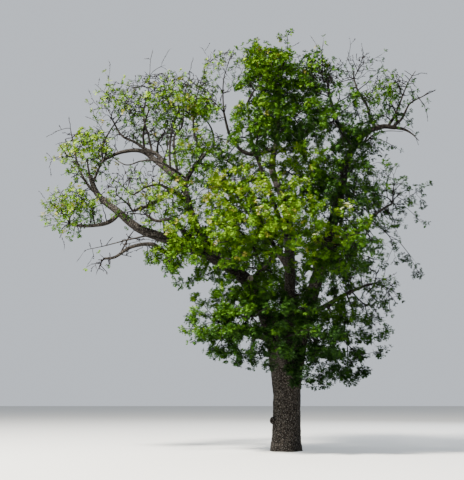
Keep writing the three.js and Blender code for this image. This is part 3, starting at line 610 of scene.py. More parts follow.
def make_bough(name, limb):
    length = route_length(limb)
    t = np.linspace(0, 1, max(12, int(length / RING_SPACING)))
    radii = limb.radius_at(t) * (1 + COLLAR_SWELL * np.exp(-t * length / COLLAR_LENGTH))
    radii = radii * (1 - ROOT_NARROWING * np.exp(-((t * length / ROOT_LENGTH) ** 2)))
    deselect()
    bpy.ops.curve.primitive_nurbs_path_add()
    path = bpy.context.object
    path.name = name + "_bark_relief"
    path.data.splines.clear()
    spline = path.data.splines.new("POLY")
    spline.points.add(len(t) - 1)
    spline.points.foreach_set("co", np.hstack([limb.at(t), np.ones((len(t), 1))]).ravel())
    spline.points.foreach_set("radius", radii)
    path.data.bevel_depth = 1
    path.data.bevel_resolution = STOUT_SIDES if radii[0] > STOUT else THIN_SIDES
    path.data.use_fill_caps = True
    bpy.ops.object.convert(target="MESH")
    piece = bpy.context.object
    mode("EDIT")
    bpy.ops.mesh.select_all(action="SELECT")
    bpy.ops.mesh.remove_doubles(threshold=1e-5)
    bpy.ops.mesh.normals_make_consistent(inside=False)
    mode("OBJECT")
    rough_bark(piece, float(radii.mean()))
    bpy.ops.object.shade_smooth_by_angle(angle=SHARP_ANGLE)
    piece.data.materials.clear()
    piece.data.materials.append(bough_bark)
    return piece


boughs = {}
for name, *_ in LIMBS:
    boughs[name] = make_bough(name, limbs[name])
    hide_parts(name)
print("bough faces", sum(len(piece.data.polygons) for piece in boughs.values()))

# %% [markdown]
# ## Side boughs
#
# Thinner boughs fork off the open ones, and a dead prong hangs below. They are made in the same way, from a
# table of their own, and the twigs of the masses there grow from them too.

# %% Side boughs
# name, from, at, root, tip, through
SIDE_BOUGHS = [
    ("crest_side", "bough_left_shelf", 0.2, 0.085, 0.03, [
        (-4.4, 0.15, 10.2), (-4.85, 0.2, 10.45), (-5.25, 0.2, 10.72), (-5.72, 0.2, 10.96),
        (-6.07, 0.2, 11.54)]),
    ("thin_arch", "bough_left_riser", 0.62, 0.05, 0.018, [
        (-3.91, -0.4, 9.6), (-4.44, -0.45, 9.82), (-4.91, -0.45, 9.82), (-5.43, -0.5, 9.66),
        (-5.9, -0.5, 9.92)]),
    ("hollow_side", "bough_left_inner", 0.25, 0.06, 0.02, [
        (-4.0, -0.7, 8.78), (-4.3, -0.8, 8.87), (-4.73, -0.85, 8.76), (-5.14, -0.9, 8.5),
        (-5.45, -0.95, 8.75)]),
    ("low_side", "bough_left_low", 0.4, 0.09, 0.04, [
        (-3.45, -1.3, 7.2), (-3.85, -1.4, 7.5), (-4.25, -1.45, 7.45), (-4.6, -1.5, 7.65)]),
    ("dead_prong", "bough_left_low", 0.5, 0.045, 0.01, [
        (-4.4, -1.4, 6.95), (-4.69, -1.7, 6.87), (-5.34, -1.9, 6.67), (-5.89, -2.0, 6.5), (-6.4, -2.05, 6.38)]),
    ("crest_upright", "bough_left_shelf", 0.1, 0.05, 0.016, [
        (-3.85, 0.2, 10.8), (-3.56, 0.3, 11.4), (-3.5, 0.3, 12.5), (-3.3, 0.3, 13.3)]),
    ("crest_lean", "bough_left_shelf", 0.42, 0.045, 0.014, [
        (-4.75, 0.2, 10.9), (-4.95, 0.1, 11.7), (-4.8, 0.1, 12.6), (-4.75, 0.1, 13.4)]),
    ("crown_upright", "bough_left_riser", 0.85, 0.05, 0.016, [
        (-3.1, -0.1, 10.9), (-3.12, -0.2, 11.6), (-2.95, -0.3, 12.6)]),
    ("fan_outer", "bough_left_low", 0.88, 0.06, 0.016, [
        (-6.75, -0.4, 8.95), (-7.12, -0.3, 9.6), (-7.36, -0.2, 10.5), (-7.5, -0.2, 11.1)]),
    ("fan_inner", "bough_left_low", 0.95, 0.05, 0.016, [
        (-6.45, -0.2, 9.6), (-6.2, -0.1, 10.3), (-6.35, 0, 11.0)]),
    ("end_droop", "stem_right", 0.98, 0.07, 0.012, [
        (4.35, -0.1, 11.1), (4.62, -0.12, 10.93), (4.86, -0.14, 10.66)]),
    ("end_rise", "stem_right", 0.93, 0.055, 0.014, [
        (4.05, -0.1, 11.6), (4.3, -0.05, 12.2), (4.6, 0, 12.9), (4.89, 0, 13.35)]),
    ("end_far", "stem_right", 0.97, 0.055, 0.012, [
        (4.3, -0.1, 11.5), (4.6, -0.1, 12.05), (5.15, 0, 12.4), (5.6, 0.1, 12.65)]),
    ("end_under", "stem_right", 0.8, 0.04, 0.01, [
        (2.95, -0.1, 10.62), (3.3, -0.2, 10.9), (3.75, -0.2, 11.0), (4.3, -0.2, 10.98)]),
]


def make_side_boughs():
    for row in SIDE_BOUGHS:
        add_limb(*row)
    piece = join([make_bough(name, limbs[name]) for name, *_ in SIDE_BOUGHS])
    piece.name = "side_boughs_bark_relief"
    return piece


side_boughs = make_side_boughs()
print("side boughs", len(SIDE_BOUGHS), "faces", len(side_boughs.data.polygons))

# %% [markdown]
# ## The pruned stub
#
# A limb was once sawn off the front bough. The tree has grown a thick lip of callus round the wound, and
# the old wood inside has sunk and greyed. A short cylinder is inset and pushed in for the hollow, and a
# ring is added round it.

# %% Pruned stub
STUB_AT, STUB_TOWARDS, STUB_LENGTH, STUB_RADIUS = 0.52, (-0.4, -0.85, 0.05), 0.33, 0.085
STUB_SINK, STUB_LIP, LIP_RADIUS = -0.05, 0.3, 0.95
LIP_ROUGHNESS, LIP_MIDDLE = 0.012, 0.4


def place_along(piece, start, towards):
    """Turns a piece from +Z to a direction and moves it, in its mesh."""
    piece.rotation_euler = Vector(towards).to_track_quat("Z", "Y").to_euler()
    piece.location = start
    apply_place()


def make_stub():
    start = limbs["bough_front"].at(STUB_AT)
    towards = unit(np.array(STUB_TOWARDS))
    deselect()
    bpy.ops.mesh.primitive_cylinder_add(vertices=28, radius=STUB_RADIUS, depth=STUB_LENGTH)
    stub = bpy.context.object
    stub.name = "pruned_stub"
    stub.data.materials.append(bough_bark)
    stub.data.materials.append(cut_wood)
    mode("EDIT")
    bpy.ops.mesh.select_all(action="DESELECT")
    mode("OBJECT")
    for face in stub.data.polygons:
        face.select = face.normal.z > 0.9
    mode("EDIT")
    bpy.ops.mesh.select_mode(type="FACE")
    bpy.ops.mesh.inset(thickness=STUB_RADIUS * STUB_LIP)
    bpy.ops.mesh.extrude_region_move(TRANSFORM_OT_translate={"value": (0, 0, STUB_SINK)})
    stub.active_material_index = 1
    bpy.ops.object.material_slot_assign()
    mode("OBJECT")
    place_along(stub, start + towards * STUB_LENGTH / 2, towards)
    deselect()
    bpy.ops.mesh.primitive_torus_add(
        major_radius=STUB_RADIUS * LIP_RADIUS, minor_radius=STUB_RADIUS * STUB_LIP,
        major_segments=36, minor_segments=10,
    )
    lip = bpy.context.object
    lip.data.materials.append(cut_wood)
    place_along(lip, start + towards * STUB_LENGTH, towards)
    displace(lip, plates, LIP_ROUGHNESS, LIP_MIDDLE)
    join([stub, lip])
    bpy.ops.object.shade_smooth_by_angle(angle=SHARP_ANGLE)
    return stub


stub = make_stub()
print("stub faces", len(stub.data.polygons))

# %% [markdown]
# ## The masses of foliage
#
# The crown is shared out among masses, each with a ball of its own round a centre. A mass grows from its
# limb: "fine twigs" and "sprays" say how many twigs and sprays of leaves it has, "tone" how light its green
# is, from 0 for the deepest to 1, partly the leaves' own green and partly painted shade for masses that sit
# in shade, "rise" how much its twigs point up, and "bare share" how many bare twigs it has for each fine one.

# %% Masses
# name, limb, at, centre, reach, coarse shoots, fine twigs, sprays, tone, rise, bare share
# tone is partly the leaves' own green and partly painted shade: lowest for masses in shade at the right, at the
# back and under the front
MASSES = [
    ("left_tip", "bough_left_tip", 1, (-7.15, -0.85, 7.86), 0.95, 7, 170, 250, 0.64, 0.3, 0.5),
    ("left_fan", "bough_left_low", 1, (-6.85, -0.2, 10.0), 1.15, 4, 230, 230, 0.68, 0.5, 0.7),
    ("left_shelf", "bough_left_shelf", 1, (-5.75, 0.2, 11.75), 1.2, 4, 160, 95, 0.6, 0.5, 0.8),
    ("left_crest_outer", "bough_left_shelf", 0.55, (-4.75, 0.1, 11.9), 1.35, 4, 180, 120, 0.6, 0.6, 0.9),
    ("left_crest", "bough_left_shelf", 0.2, (-3.65, 0.4, 12.1), 1.35, 4, 240, 170, 0.58, 0.6, 1.1),
    ("left_crest_back", "bough_left_shelf", 0.35, (-4.3, 2.4, 11.8), 1.45, 4, 180, 150, 0.44, 0.5, 0.6),
    ("left_crown", "bough_left_riser", 1, (-2.95, -0.3, 11.6), 1.1, 4, 220, 220, 0.58, 0.5, 1.0),
    ("left_hollow", "bough_left_inner", 1, (-5.25, -1.15, 8.3), 1.05, 7, 120, 70, 0.54, 0.3, 0.6),
    ("left_inner", "bough_left_riser", 0.7, (-2.95, -0.9, 9.6), 1.35, 4, 180, 360, 0.5, 0.3, 0.4),
    ("left_hanging", "bough_left_hanging", 1, (-5.95, -2.1, 5.85), 0.42, 5, 24, 3, 0.5, 0, 0.6),
    ("left_low_inner", "bough_left_low", 0.52, (-3.95, -1.3, 7.9), 1.1, 6, 170, 250, 0.62, 0.4, 0.5),
    ("left_shoulder", "bough_left_low", 0.3, (-2.95, -1.7, 6.42), 1.4, 3, 150, 940, 0.52, 0.1, 0.05),
    ("arch_end", "bough_middle_arch", 1, (-2.0, -0.48, 13.1), 0.9, 7, 60, 44, 0.6, 0.6, 0.8),
    ("top_left", "bough_front_top", 1, (-0.4, -1.2, 12.5), 1.2, 4, 130, 660, 0.46, 0.3, 0.1),
    ("top_middle", "stem_middle", 1, (-0.2, 0.2, 12.95), 1.3, 4, 130, 580, 0.42, 0.4, 0.15),
    ("top_back", "stem_middle", 0.62, (0.6, 2.4, 12.5), 1.55, 4, 130, 560, 0.36, 0.4, 0.1),
    ("upper_left", "bough_front_top", 0.66, (-0.85, -2.2, 10.45), 1.1, 3, 120, 530, 0.42, 0.1, 0),
    ("upper_middle", "stem_middle", 0.84, (0.35, -1.3, 11.1), 1.55, 3, 120, 680, 0.34, 0.1, 0),
    ("middle_left", "bough_front_top", 0.36, (-1.65, -1.6, 8.2), 1.3, 3, 120, 600, 0.64, 0.1, 0),
    ("centre", "stem_middle", 0.55, (0.35, -1.6, 8.9), 1.5, 3, 120, 590, 0.5, 0.1, 0),
    ("right_fork", "bough_right_fork", 1, (1.15, -0.45, 12.85), 0.88, 4, 130, 230, 0.44, 0.4, 0.4),
    ("right_spire", "bough_right_spire", 1, (2.85, 0.3, 13.15), 1.1, 8, 60, 14, 0.36, 0.7, 0.7),
    ("right_end", "stem_right", 1, (3.75, -0.1, 12.3), 1.05, 4, 150, 200, 0.46, 0.2, 0.7),
    ("right_upper", "stem_right", 0.84, (2.45, -1.0, 10.55), 1.1, 4, 120, 230, 0.38, 0, 0.4),
    ("right_shoulder", "bough_right_fork", 0.35, (1.65, -1.55, 10.85), 1.5, 3, 120, 480, 0.32, 0.1, 0.2),
    ("right_side", "bough_right_side", 1, (3.15, -1.0, 8.45), 1.2, 4, 130, 280, 0.34, -0.1, 0.3),
    ("right_middle", "bough_right_side", 0.62, (2.7, -0.75, 6.95), 1.3, 4, 120, 260, 0.32, -0.1, 0.4),
    ("right_low", "bough_right_low", 1, (2.9, 0.45, 5.25), 1.3, 4, 120, 230, 0.34, -0.1, 0.4),
    ("right_skirt", "bough_right_low", 0.4, (1.95, -0.5, 3.6), 1.45, 3, 120, 900, 0.26, -0.1, 0.1),
    ("front_left", "bough_front", 0.66, (-1.5, -2.75, 6.8), 1.45, 3, 130, 730, 0.58, 0, 0),
    ("front_middle", "bough_front", 1, (-0.05, -3.15, 7.05), 1.45, 3, 130, 730, 0.6, 0, 0),
    ("front_right", "bough_right_side", 0.2, (1.5, -2.5, 6.4), 1.5, 3, 130, 700, 0.46, 0, 0),
    ("front_low", "bough_front", 0.4, (-1.15, -2.3, 4.2), 1.45, 3, 130, 1120, 0.3, -0.1, 0),
    ("front_low_right", "stem_right", 0.1, (0.45, -2.15, 3.5), 1.45, 3, 130, 1140, 0.2, -0.1, 0),
    ("left_skirt", "bough_left_skirt", 1, (-2.2, -1.1, 4.15), 1.3, 4, 120, 860, 0.4, -0.1, 0),
    ("crown_inner", "stem_right", 0.45, (1.7, -1.5, 8.5), 1.5, 3, 120, 560, 0.28, 0.1, 0.1),
    ("back_low", "stem_middle", 0.14, (0.2, 2.0, 4.9), 1.75, 3, 120, 1150, 0.34, 0, 0),
    ("back_middle", "bough_back_left", 0.4, (-1.0, 2.5, 7.0), 1.75, 3, 120, 1100, 0.42, 0.1, 0),
    ("back_left", "bough_back_left", 1, (-1.9, 2.7, 10.15), 1.7, 4, 130, 500, 0.46, 0.3, 0),
    ("back_right", "bough_back_right", 1, (2.2, 2.7, 9.9), 1.65, 4, 130, 680, 0.36, 0.2, 0),
    ("back_right_low", "bough_back_right", 0.45, (1.85, 2.5, 6.7), 1.75, 3, 120, 980, 0.36, 0, 0),
]
print("masses", len(MASSES), "sprays", sum(row[7] for row in MASSES))

# %% [markdown]
# ## Long shoots
#
# Some long leafy shoots reach past their ball, to the furthest tips of the crown and into the gaps behind
# and between the stems.

# %% Long shoots
FAR_TIPS = {
    "left_tip": [
        (-8.45, -0.9, 8.34), (-8.31, -0.7, 7.9), (-7.93, -1, 7.17), (-6.15, -0.8, 8), (-6.3, -0.8, 8.35),
        (-6.1, -0.8, 8.5), (-6.55, -0.8, 8.75), (-5.9, -0.8, 7.85), (-6.45, -0.85, 7.15)],
    "left_crown": [
        (-2.75, -0.2, 13.4), (-2.4, -0.2, 13.1), (-2.5, -0.2, 12.5), (-2.25, -0.2, 12.8), (-2.2, -0.3, 12.2),
        (-2.3, -0.3, 11.7), (-2.6, -0.2, 13.6), (-2.15, -0.3, 11.2)],
    "top_left": [
        (-1.5, -0.6, 14.2), (-1.4, -0.6, 13.7), (-1.4, -0.7, 13.2), (-1.5, -0.7, 12.7), (-1.2, -0.6, 14)],
    "left_fan": [(-8.05, -0.2, 9.93), (-7.76, -0.1, 11.37)],
    "left_shelf": [(-6.49, 0.2, 13.65), (-7.08, 0.2, 12.01)],
    "left_crest_outer": [(-5.35, 0.1, 13.55)],
    "left_crest": [(-3.56, 0.3, 13.8), (-4.3, 0.3, 14.05)],
    "left_crest_back": [(-4.35, 4.15, 12)],
    "left_hollow": [(-5, -1.3, 6.95), (-5.35, -1.3, 7.15)],
    "left_shoulder": [
        (-4.6, -1.6, 6.05), (-4.2, -1.6, 5.5), (-4.8, -1.5, 6), (-4.6, -1.8, 6.4), (-4.85, -1.6, 6.3)],
    "front_low": [
        (-2, -2.2, 5.75), (-1.7, -2.3, 5.5), (-1.3, -2.4, 5.3), (-1, -2.4, 5.6), (-0.2, -2.3, 5.8),
        (0.1, -2.3, 5.9), (-0.45, -1.9, 5.5), (0, -1.7, 5.2), (-0.6, -1.5, 5), (-1, -2, 2.35),
        (-0.6, -1.8, 2.3)],
    "front_low_right": [
        (0.5, -1.9, 5.4), (0.95, -1.7, 5.3), (0.3, -1.6, 4.9), (1.3, -1.8, 5), (0.35, -1.6, 1.8),
        (0.9, -1.6, 1.75), (0.1, -1.5, 1.9), (1.4, -1.4, 1.85)],
    "right_skirt": [
        (1.7, -1.2, 5.1), (1.5, -1.2, 4.7), (1.9, -1, 5.4), (2.4, -0.2, 3.7), (2.8, -0.1, 3.7),
        (1.9, -0.6, 1.9), (2.4, -0.4, 2), (1.4, -0.4, 1.95)],
    "arch_end": [
        (-1.59, -0.5, 14.28), (-2.6, -0.3, 13.9), (-2.35, -0.3, 14.05), (-2.9, -0.3, 13.8),
        (-1.95, -0.4, 14.1)],
    "top_middle": [
        (0.38, 0.2, 15.2), (-0.59, 0, 14.67), (-1.25, 0, 14.75), (-0.95, 0.1, 14.9), (-1.5, 0, 14.3),
        (-1.1, -0.1, 14.4), (-1.55, -0.1, 13.8), (-0.7, 0.2, 14.3)],
    "top_back": [
        (0.9, 3.6, 13.9), (0.3, 1, 11.6), (0.6, 1.1, 12.4), (0.9, 1.2, 10.8), (0, 1.2, 11.4), (0.6, 1, 13),
        (1.2, 1.6, 11)],
    "upper_middle": [(0.2, -0.9, 9.7), (0.9, -0.9, 9.7), (-0.2, -1, 9.8), (1.3, -1, 10.2)],
    "centre": [(0.2, -1, 10.4), (0.7, -1.1, 10.4), (-0.1, -0.8, 8), (0, -0.8, 7.4)],
    "right_fork": [(1.62, -0.4, 14.75), (1.35, -0.4, 14.4), (1.6, -0.3, 14), (1.35, -0.4, 13.9)],
    "right_spire": [(3.48, 0.2, 14.1), (4.05, 0.2, 14.4)],
    "right_end": [
        (3.6, -0.4, 11.2), (4, -0.4, 11.4), (4.4, -0.3, 11.2), (4.7, -0.2, 10.95), (3.8, -0.3, 10.9),
        (4.2, -0.3, 10.8), (4.9, 0, 12.7), (5.2, 0, 12.5), (4.5, 0, 12.6), (3.2, -0.4, 11.1), (4.6, -0.1, 12.3),
        (5, -0.1, 11.9), (4.2, -0.1, 11.3), (4.6, -0.1, 11.6), (4.9, -0.1, 12.4), (5.47, -0.2, 11.85),
        (4.9, -0.15, 10.7), (5, 0, 13.2)],
    "right_upper": [
        (4.26, -1, 9.97), (3.1, -0.8, 10.2), (3.5, -0.8, 10), (3.3, -0.8, 9.6), (3.7, -0.9, 9.7),
        (2.9, -0.8, 10.7)],
    "right_side": [
        (3, 0.3, 8.6), (3.3, 0.2, 8), (2.9, 0.4, 9.2), (5.19, -1, 8.84), (5.12, -0.6, 8.2), (4.89, -1.2, 7.2)],
    "right_middle": [(4.75, -0.6, 6.08), (4.9, -0.3, 5.65)],
    "right_low": [
        (3.2, 0, 3.75), (3, -0.6, 5.9), (3.4, -0.5, 5.7), (3.8, -0.3, 5.9), (4.36, 0.4, 5.26),
        (4.05, 0.6, 4.41), (3.77, 0, 4.87)],
    "left_skirt": [
        (-1.9, -1.6, 4.9), (-1.4, -1.8, 4.8), (-2.3, -1.4, 5.2), (-1.6, -1.8, 5.2), (-1.3, -1.2, 3.35),
        (-1.5, -1.2, 3.2), (-1.6, -1.4, 3.9), (-1.2, -1.5, 3.8), (-3.71, -1.2, 3.85), (-1.9, -1.1, 2.6),
        (-1.4, -1.2, 2.45), (-2.5, -1.1, 2.8), (-1, -1, 2.5)],
    "front_middle": [(-0.2, -4.75, 7.25)],
    "front_left": [
        (-2.05, -4.35, 6.5), (-2.2, -2.4, 5.9), (-1.9, -2.5, 5.6), (-1.5, -2.6, 5.4), (-2.4, -2.2, 6.1),
        (-1.2, -2.7, 5.6)],
    "front_right": [
        (0.55, -2.2, 6.1), (0.5, -2.3, 5.8), (0.2, -2.4, 6.2), (0.6, -2.2, 5.2), (1.2, -2.2, 5.5),
        (0.8, -2.3, 5.5), (0.4, -2.3, 5.6), (0.2, -2.3, 5.2), (1.3, -2.1, 5), (0.2, -2.3, 6)],
    "back_low": [
        (-1.2, 1.2, 4.2), (1.4, 1.2, 4.6), (0.2, 0.9, 5.6), (-0.9, 1, 5.4), (1.1, 1, 5.6), (0, 1.5, 6.5),
        (0.35, 1.6, 6.6), (-0.25, 1.3, 6.3), (0.6, 1.2, 6.4)],
    "back_left": [
        (-2.3, 4.65, 10.5), (-1.2, 1, 9), (-1, 1.6, 11.4), (-0.6, 1.4, 10.6), (-1.6, 0.9, 10.2),
        (-0.6, 1.1, 9.6)],
    "back_middle": [
        (-1.5, 4.55, 7.3), (-0.8, 0.8, 7.6), (-0.1, 2, 6), (0.2, 2, 7), (-0.6, 0.9, 8.4), (-0.2, 0.9, 7.4),
        (-1.4, 0.7, 7.2), (0.1, 1, 8.2), (0.4, 2.6, 8.3)],
    "back_right": [
        (2.6, 0.9, 9.2), (2.8, 0.8, 10.2), (2.9, 1.1, 8.6), (2.5, 1.4, 9.8), (2.7, 1.2, 10.9), (0.8, 2.2, 8.9),
        (1, 0.8, 9.2), (0.5, 2, 11), (1.3, 1.1, 11.3), (2.8, 4.55, 10.1), (1.9, 0.9, 9.6), (1.4, 0.9, 8.6),
        (1.6, 1, 10.6), (0.9, 1.5, 10.2), (0.4, 1.6, 9.9)],
    "back_right_low": [
        (2.6, 0.9, 7.6), (2.8, 0.8, 6.8), (2.5, 1.2, 7.2), (2.4, 0.8, 6.2), (2.9, 1, 8), (2.5, 4.4, 6.8),
        (1.8, 0.9, 6.9), (1.2, 1, 7.6), (1, 1, 6.6), (1.9, 0.8, 5.9), (0.8, 3, 7.6), (1.3, 1.3, 8.2)],
}
print("long shoots", sum(map(len, FAR_TIPS.values())))

# %% [markdown]
# ## Bare shoots and knots
#
# Other long shoots are dead or not yet in leaf, and in a few places short bare twigs crowd into a knot.

# %% Bare shoots
BARE_TIPS = {
    "left_hanging": [
        (-4.9, -1.75, 7.15), (-5.2, -1.8, 6.95), (-5.6, -1.95, 6.82), (-6, -2, 6.7), (-6.35, -2.05, 6.6),
        (-5.1, -1.8, 6.45), (-5.7, -2, 6.3), (-6.5, -2.05, 6.3)],
    "left_tip": [
        (-8.42, -0.7, 8.67), (-8.4, -0.8, 7.76), (-8.15, -0.9, 7.36), (-7.54, -1, 6.93), (-7.4, -0.9, 6.54)],
    "left_fan": [
        (-7.57, -0.2, 11.55), (-8.1, -0.2, 10.95), (-8.35, -0.2, 10.76), (-8.24, -0.2, 9.92),
        (-8.3, -0.2, 10.2), (-8.2, -0.2, 9.6), (-8, -0.2, 10.5), (-7.9, -0.2, 11.2), (-8.1, -0.2, 9.3)],
    "left_shelf": [
        (-6.31, 0.2, 13.9), (-6.77, 0.2, 12.96), (-6.7, 0.2, 12.6), (-7.1, 0.2, 11.7), (-6.9, 0.2, 12.4),
        (-6.6, 0.2, 13.2), (-6.5, 0.2, 12.8), (-6.95, 0.2, 12.1), (-6.3, 0.2, 13.3), (-7, 0.2, 12.75)],
    "left_crest_outer": [(-4.67, 0.2, 14.3), (-5, 0.2, 13.9)],
    "left_crest": [(-3.98, 0.3, 14.4), (-3.2, 0.3, 14.05)],
    "arch_end": [(-2.95, -0.2, 14.2), (-2.57, -0.3, 14.3), (-2.08, -0.4, 13.9)],
    "top_middle": [(0.2, 0.2, 15), (0.75, 0, 14.5)],
    "right_fork": [(1.05, -0.3, 14.6), (2.3, 0.2, 13.7)],
    "right_spire": [(2.59, 0.3, 14.85), (2.8, 0.3, 14.75), (3, 0.2, 14.55), (3.3, 0.2, 14), (2.2, 0.3, 13.9)],
    "right_end": [(5.35, 0.1, 13.28), (5.7, 0.1, 12.7), (5.24, 0, 11.4), (4.85, -0.1, 10.5), (4.5, 0.1, 13.4)],
}
# place, spread, count
TWIG_KNOTS = {
    "right_fork": ((1.25, -0.9, 12.6), (0.36, 0.2, 0.12), 420),
    "left_crest_outer": ((-4.9, 0.1, 11.0), (0.6, 0.25, 0.28), 150),
    "left_hollow": ((-4.85, -0.6, 9.3), (0.42, 0.25, 0.3), 70),
    "left_fan": ((-6.9, -0.2, 9.9), (0.5, 0.25, 0.5), 60),
    "left_hanging": ((-4.6, -1.7, 6.6), (0.5, 0.15, 0.16), 60),
}
print("bare shoots", sum(map(len, BARE_TIPS.values())), "knots", len(TWIG_KNOTS))

# %% [markdown]
# ## The space of each mass
#
# The balls are a little flattened. Where they overlap, a place belongs to the deepest one, so every mass
# has a space of its own, and its twigs are measured against the edge of that space.

# %% Spaces
FLATNESS = 0.92
SPACE_MARGIN = 0.016
STRETCH = np.array([1, 1, 1 / FLATNESS])
centres = np.array([row[3] for row in MASSES])
reaches = np.array([row[4] for row in MASSES])


def edge_of(index, directions):
    """How far a mass's own space goes from its centre in some directions."""
    edge = reaches[index] / np.linalg.norm(directions * STRETCH, axis=1)
    for other in range(len(MASSES)):
        apart = np.linalg.norm(centres[other] - centres[index])
        if other == index or apart > reaches[index] + reaches[other]:
            continue
        between = (centres[other] - centres[index]) * STRETCH
        lead = reaches[index] ** 2 - reaches[other] ** 2 + between @ between - 2 * SPACE_MARGIN * apart
        loss = 2 * (directions * STRETCH) @ between
        edge = np.where(loss > 1e-6, np.minimum(edge, lead / np.maximum(loss, 1e-6)), edge)
    return np.maximum(edge, 0)


widths = [edge_of(i, np.array([[1.0, 0, 0], [-1, 0, 0]])).sum() for i in range(len(MASSES))]
print("widths of the spaces", round(min(widths), 2), "to", round(max(widths), 2))

# %% [markdown]
# ## The stem of a mass
#
# A stem goes from the limb to the middle of the mass's space. It leaves the tip of a limb straight on, and
# its side with a bend. Shoots may also spring from any bough that passes through the space.

# %% Stems
STEM_SUNK, STEM_ROOT, STEM_ROOT_SHARE, STEM_OF_LIMB, STEM_TAPER = 0.012, 0.026, 0.02, 0.9, 0.45
STEM_LIFT, STEM_LEAVE_TIP, STEM_LEAVE_SIDE, STEM_TURN = 0.1, 0.45, 0.25, 0.35
BOUGH_REACH, BOUGH_FROM, BOUGH_MARKS = 0.35, 0.12, 40


def bent(start, bend, end, t):
    """Places on the arc that leaves start, is drawn towards bend, and comes to end."""
    t = np.asarray(t)[:, None]
    return (1 - t) ** 2 * start + 2 * t * (1 - t) * bend + t**2 * end


def stem_of(index):
    """The stem of a mass as places and radii."""
    _, limb_name, at, _, reach, *_ = MASSES[index]
    limb, middle = limbs[limb_name], centres[index]
    way = limb.direction(np.float64(at))
    start = limb.at(at) - (way * STEM_SUNK if at == 1 else 0)
    length = np.linalg.norm(middle - start)
    bend = start + way * length * (STEM_LEAVE_TIP if at == 1 else STEM_LEAVE_SIDE)
    bend = bend + (middle - bend) * STEM_TURN + UP * STEM_LIFT * length
    root = min(limb.radius_at(np.float64(at)) * STEM_OF_LIMB, STEM_ROOT + reach * STEM_ROOT_SHARE)
    t = np.linspace(0, 1, 9)
    return bent(start, bend, middle, t), root * (1 - STEM_TAPER * t), length


def bough_places(index):
    """Places on boughs inside a mass's space, from which shoots may spring as well."""
    found = []
    for name, limb in limbs.items():
        if name == "trunk":
            continue
        t = np.linspace(BOUGH_FROM, 1, BOUGH_MARKS)
        places = limb.at(t)
        near = np.linalg.norm((places - centres[index]) * STRETCH, axis=1) < reaches[index] + BOUGH_REACH
        found.append(np.column_stack([places[near], np.zeros(near.sum()), limb.radius_at(t[near])]))
    return np.vstack(found)


stem_lengths = [stem_of(i)[2] for i in range(len(MASSES))]
print("stem lengths", round(min(stem_lengths), 2), "to", round(max(stem_lengths), 2))

# %% [markdown]
# ## Where the shoots go
#
# Shoots are sent to places spread evenly through the mass's space: first far ones, near its edge, then
# small clumps of twigs at several depths. Long, dead and bare shoots and the knots are added. All places
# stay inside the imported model's box, with room for leaves or knobs round them.

# %% Targets
GOLDEN_ANGLE = math.pi * (3 - math.sqrt(5))
DEALING_STRIDE, TURN_SPREAD = 11, 0.5
CLUMP_TWIGS, CLUMP_SPREAD = 4, (0.17, 0.17, 0.075)
TIER, TIER_PULL = 0.62, 0.75
FIRST_REACH, REACH_STEPS = 0.92, (1.0, 0.78, 0.93, 0.6, 0.86, 0.45)
REACH_FROM, REACH_SPREAD = 0.86, 0.12
FAR_INSET, FAR_TWIGS, FAR_SPREAD, FAR_BACK = 0.34, 5, (0.10, 0.10, 0.07), (0.0, 0.9)
BARE_RISE, BARE_REACH = 0.4, (0.7, 1.1)
LEAF_ROOM, KNOB_ROOM = 0.27, 0.07


def even_directions(count, draw):
    """Directions spread evenly all round by the golden angle, dealt in an order that skips about."""
    i = (np.arange(count) * DEALING_STRIDE) % count
    z = 1 - (2 * i + 1) / count
    turn = i * GOLDEN_ANGLE + TURN_SPREAD * draw.random(count)
    level = np.sqrt(1 - z * z)
    return np.stack([level * np.cos(turn), level * np.sin(turn), z], axis=1)


def targets(index, draw):
    """Where a mass's shoots go, coarse and long ones first, and which of them are thick and which leafy."""
    name, _, _, _, _, coarse, fine, _, _, rise, bare_share = MASSES[index]
    clumps = fine // CLUMP_TWIGS
    first = even_directions(coarse * 2, draw)
    later = unit(even_directions(clumps, draw) + UP * rise)
    directions = np.vstack([first, later])
    steps = np.resize(REACH_STEPS, clumps)
    shares = np.concatenate([np.full(len(first), FIRST_REACH), steps])
    shares = shares * (REACH_FROM + REACH_SPREAD * draw.random(len(directions)))
    inner = centres[index] + directions * (edge_of(index, directions) * shares)[:, None]
    if rise < 0:
        inner[:, 2] += TIER_PULL * (np.round(inner[:, 2] / TIER) * TIER - inner[:, 2])
    later = np.repeat(inner[len(first) :], CLUMP_TWIGS, axis=0)
    later = later + draw.normal(size=later.shape) * CLUMP_SPREAD
    far = np.array(FAR_TIPS.get(name, [])).reshape(-1, 3)
    far = far - unit(far - centres[index]) * FAR_INSET
    side = np.repeat(far, FAR_TWIGS, axis=0) + draw.normal(size=(len(far) * FAR_TWIGS, 3)) * FAR_SPREAD
    side = side - unit(side - centres[index]) * draw.uniform(*FAR_BACK, (len(side), 1))
    dead = np.array(BARE_TIPS.get(name, [])).reshape(-1, 3)
    bare = unit(even_directions(int(bare_share * fine), draw) + UP * (rise + BARE_RISE))
    bare = centres[index] + bare * (edge_of(index, bare) * draw.uniform(*BARE_REACH, len(bare)))[:, None]
    knot_place, knot_spread, knot_count = TWIG_KNOTS.get(name, ((0, 0, 0), (0, 0, 0), 0))
    knot = knot_place + draw.normal(size=(knot_count, 3)) * knot_spread
    long_ones = len(bare) // 2
    groups = [
        (inner[: len(first)], True, True), (far, True, True), (dead, True, False),
        (bare[:long_ones], False, False), (later, False, True), (side, False, True),
        (bare[long_ones:], False, False), (knot, False, False),
    ]
    tips, thick, leafy = zip(*groups)
    thick, leafy = (np.repeat(kind, [len(places) for places in tips]) for kind in (thick, leafy))
    room = np.where(leafy, LEAF_ROOM, KNOB_ROOM)[:, None]
    return np.clip(np.vstack(tips), cad_box[0] + room, cad_box[1] - room), thick, leafy

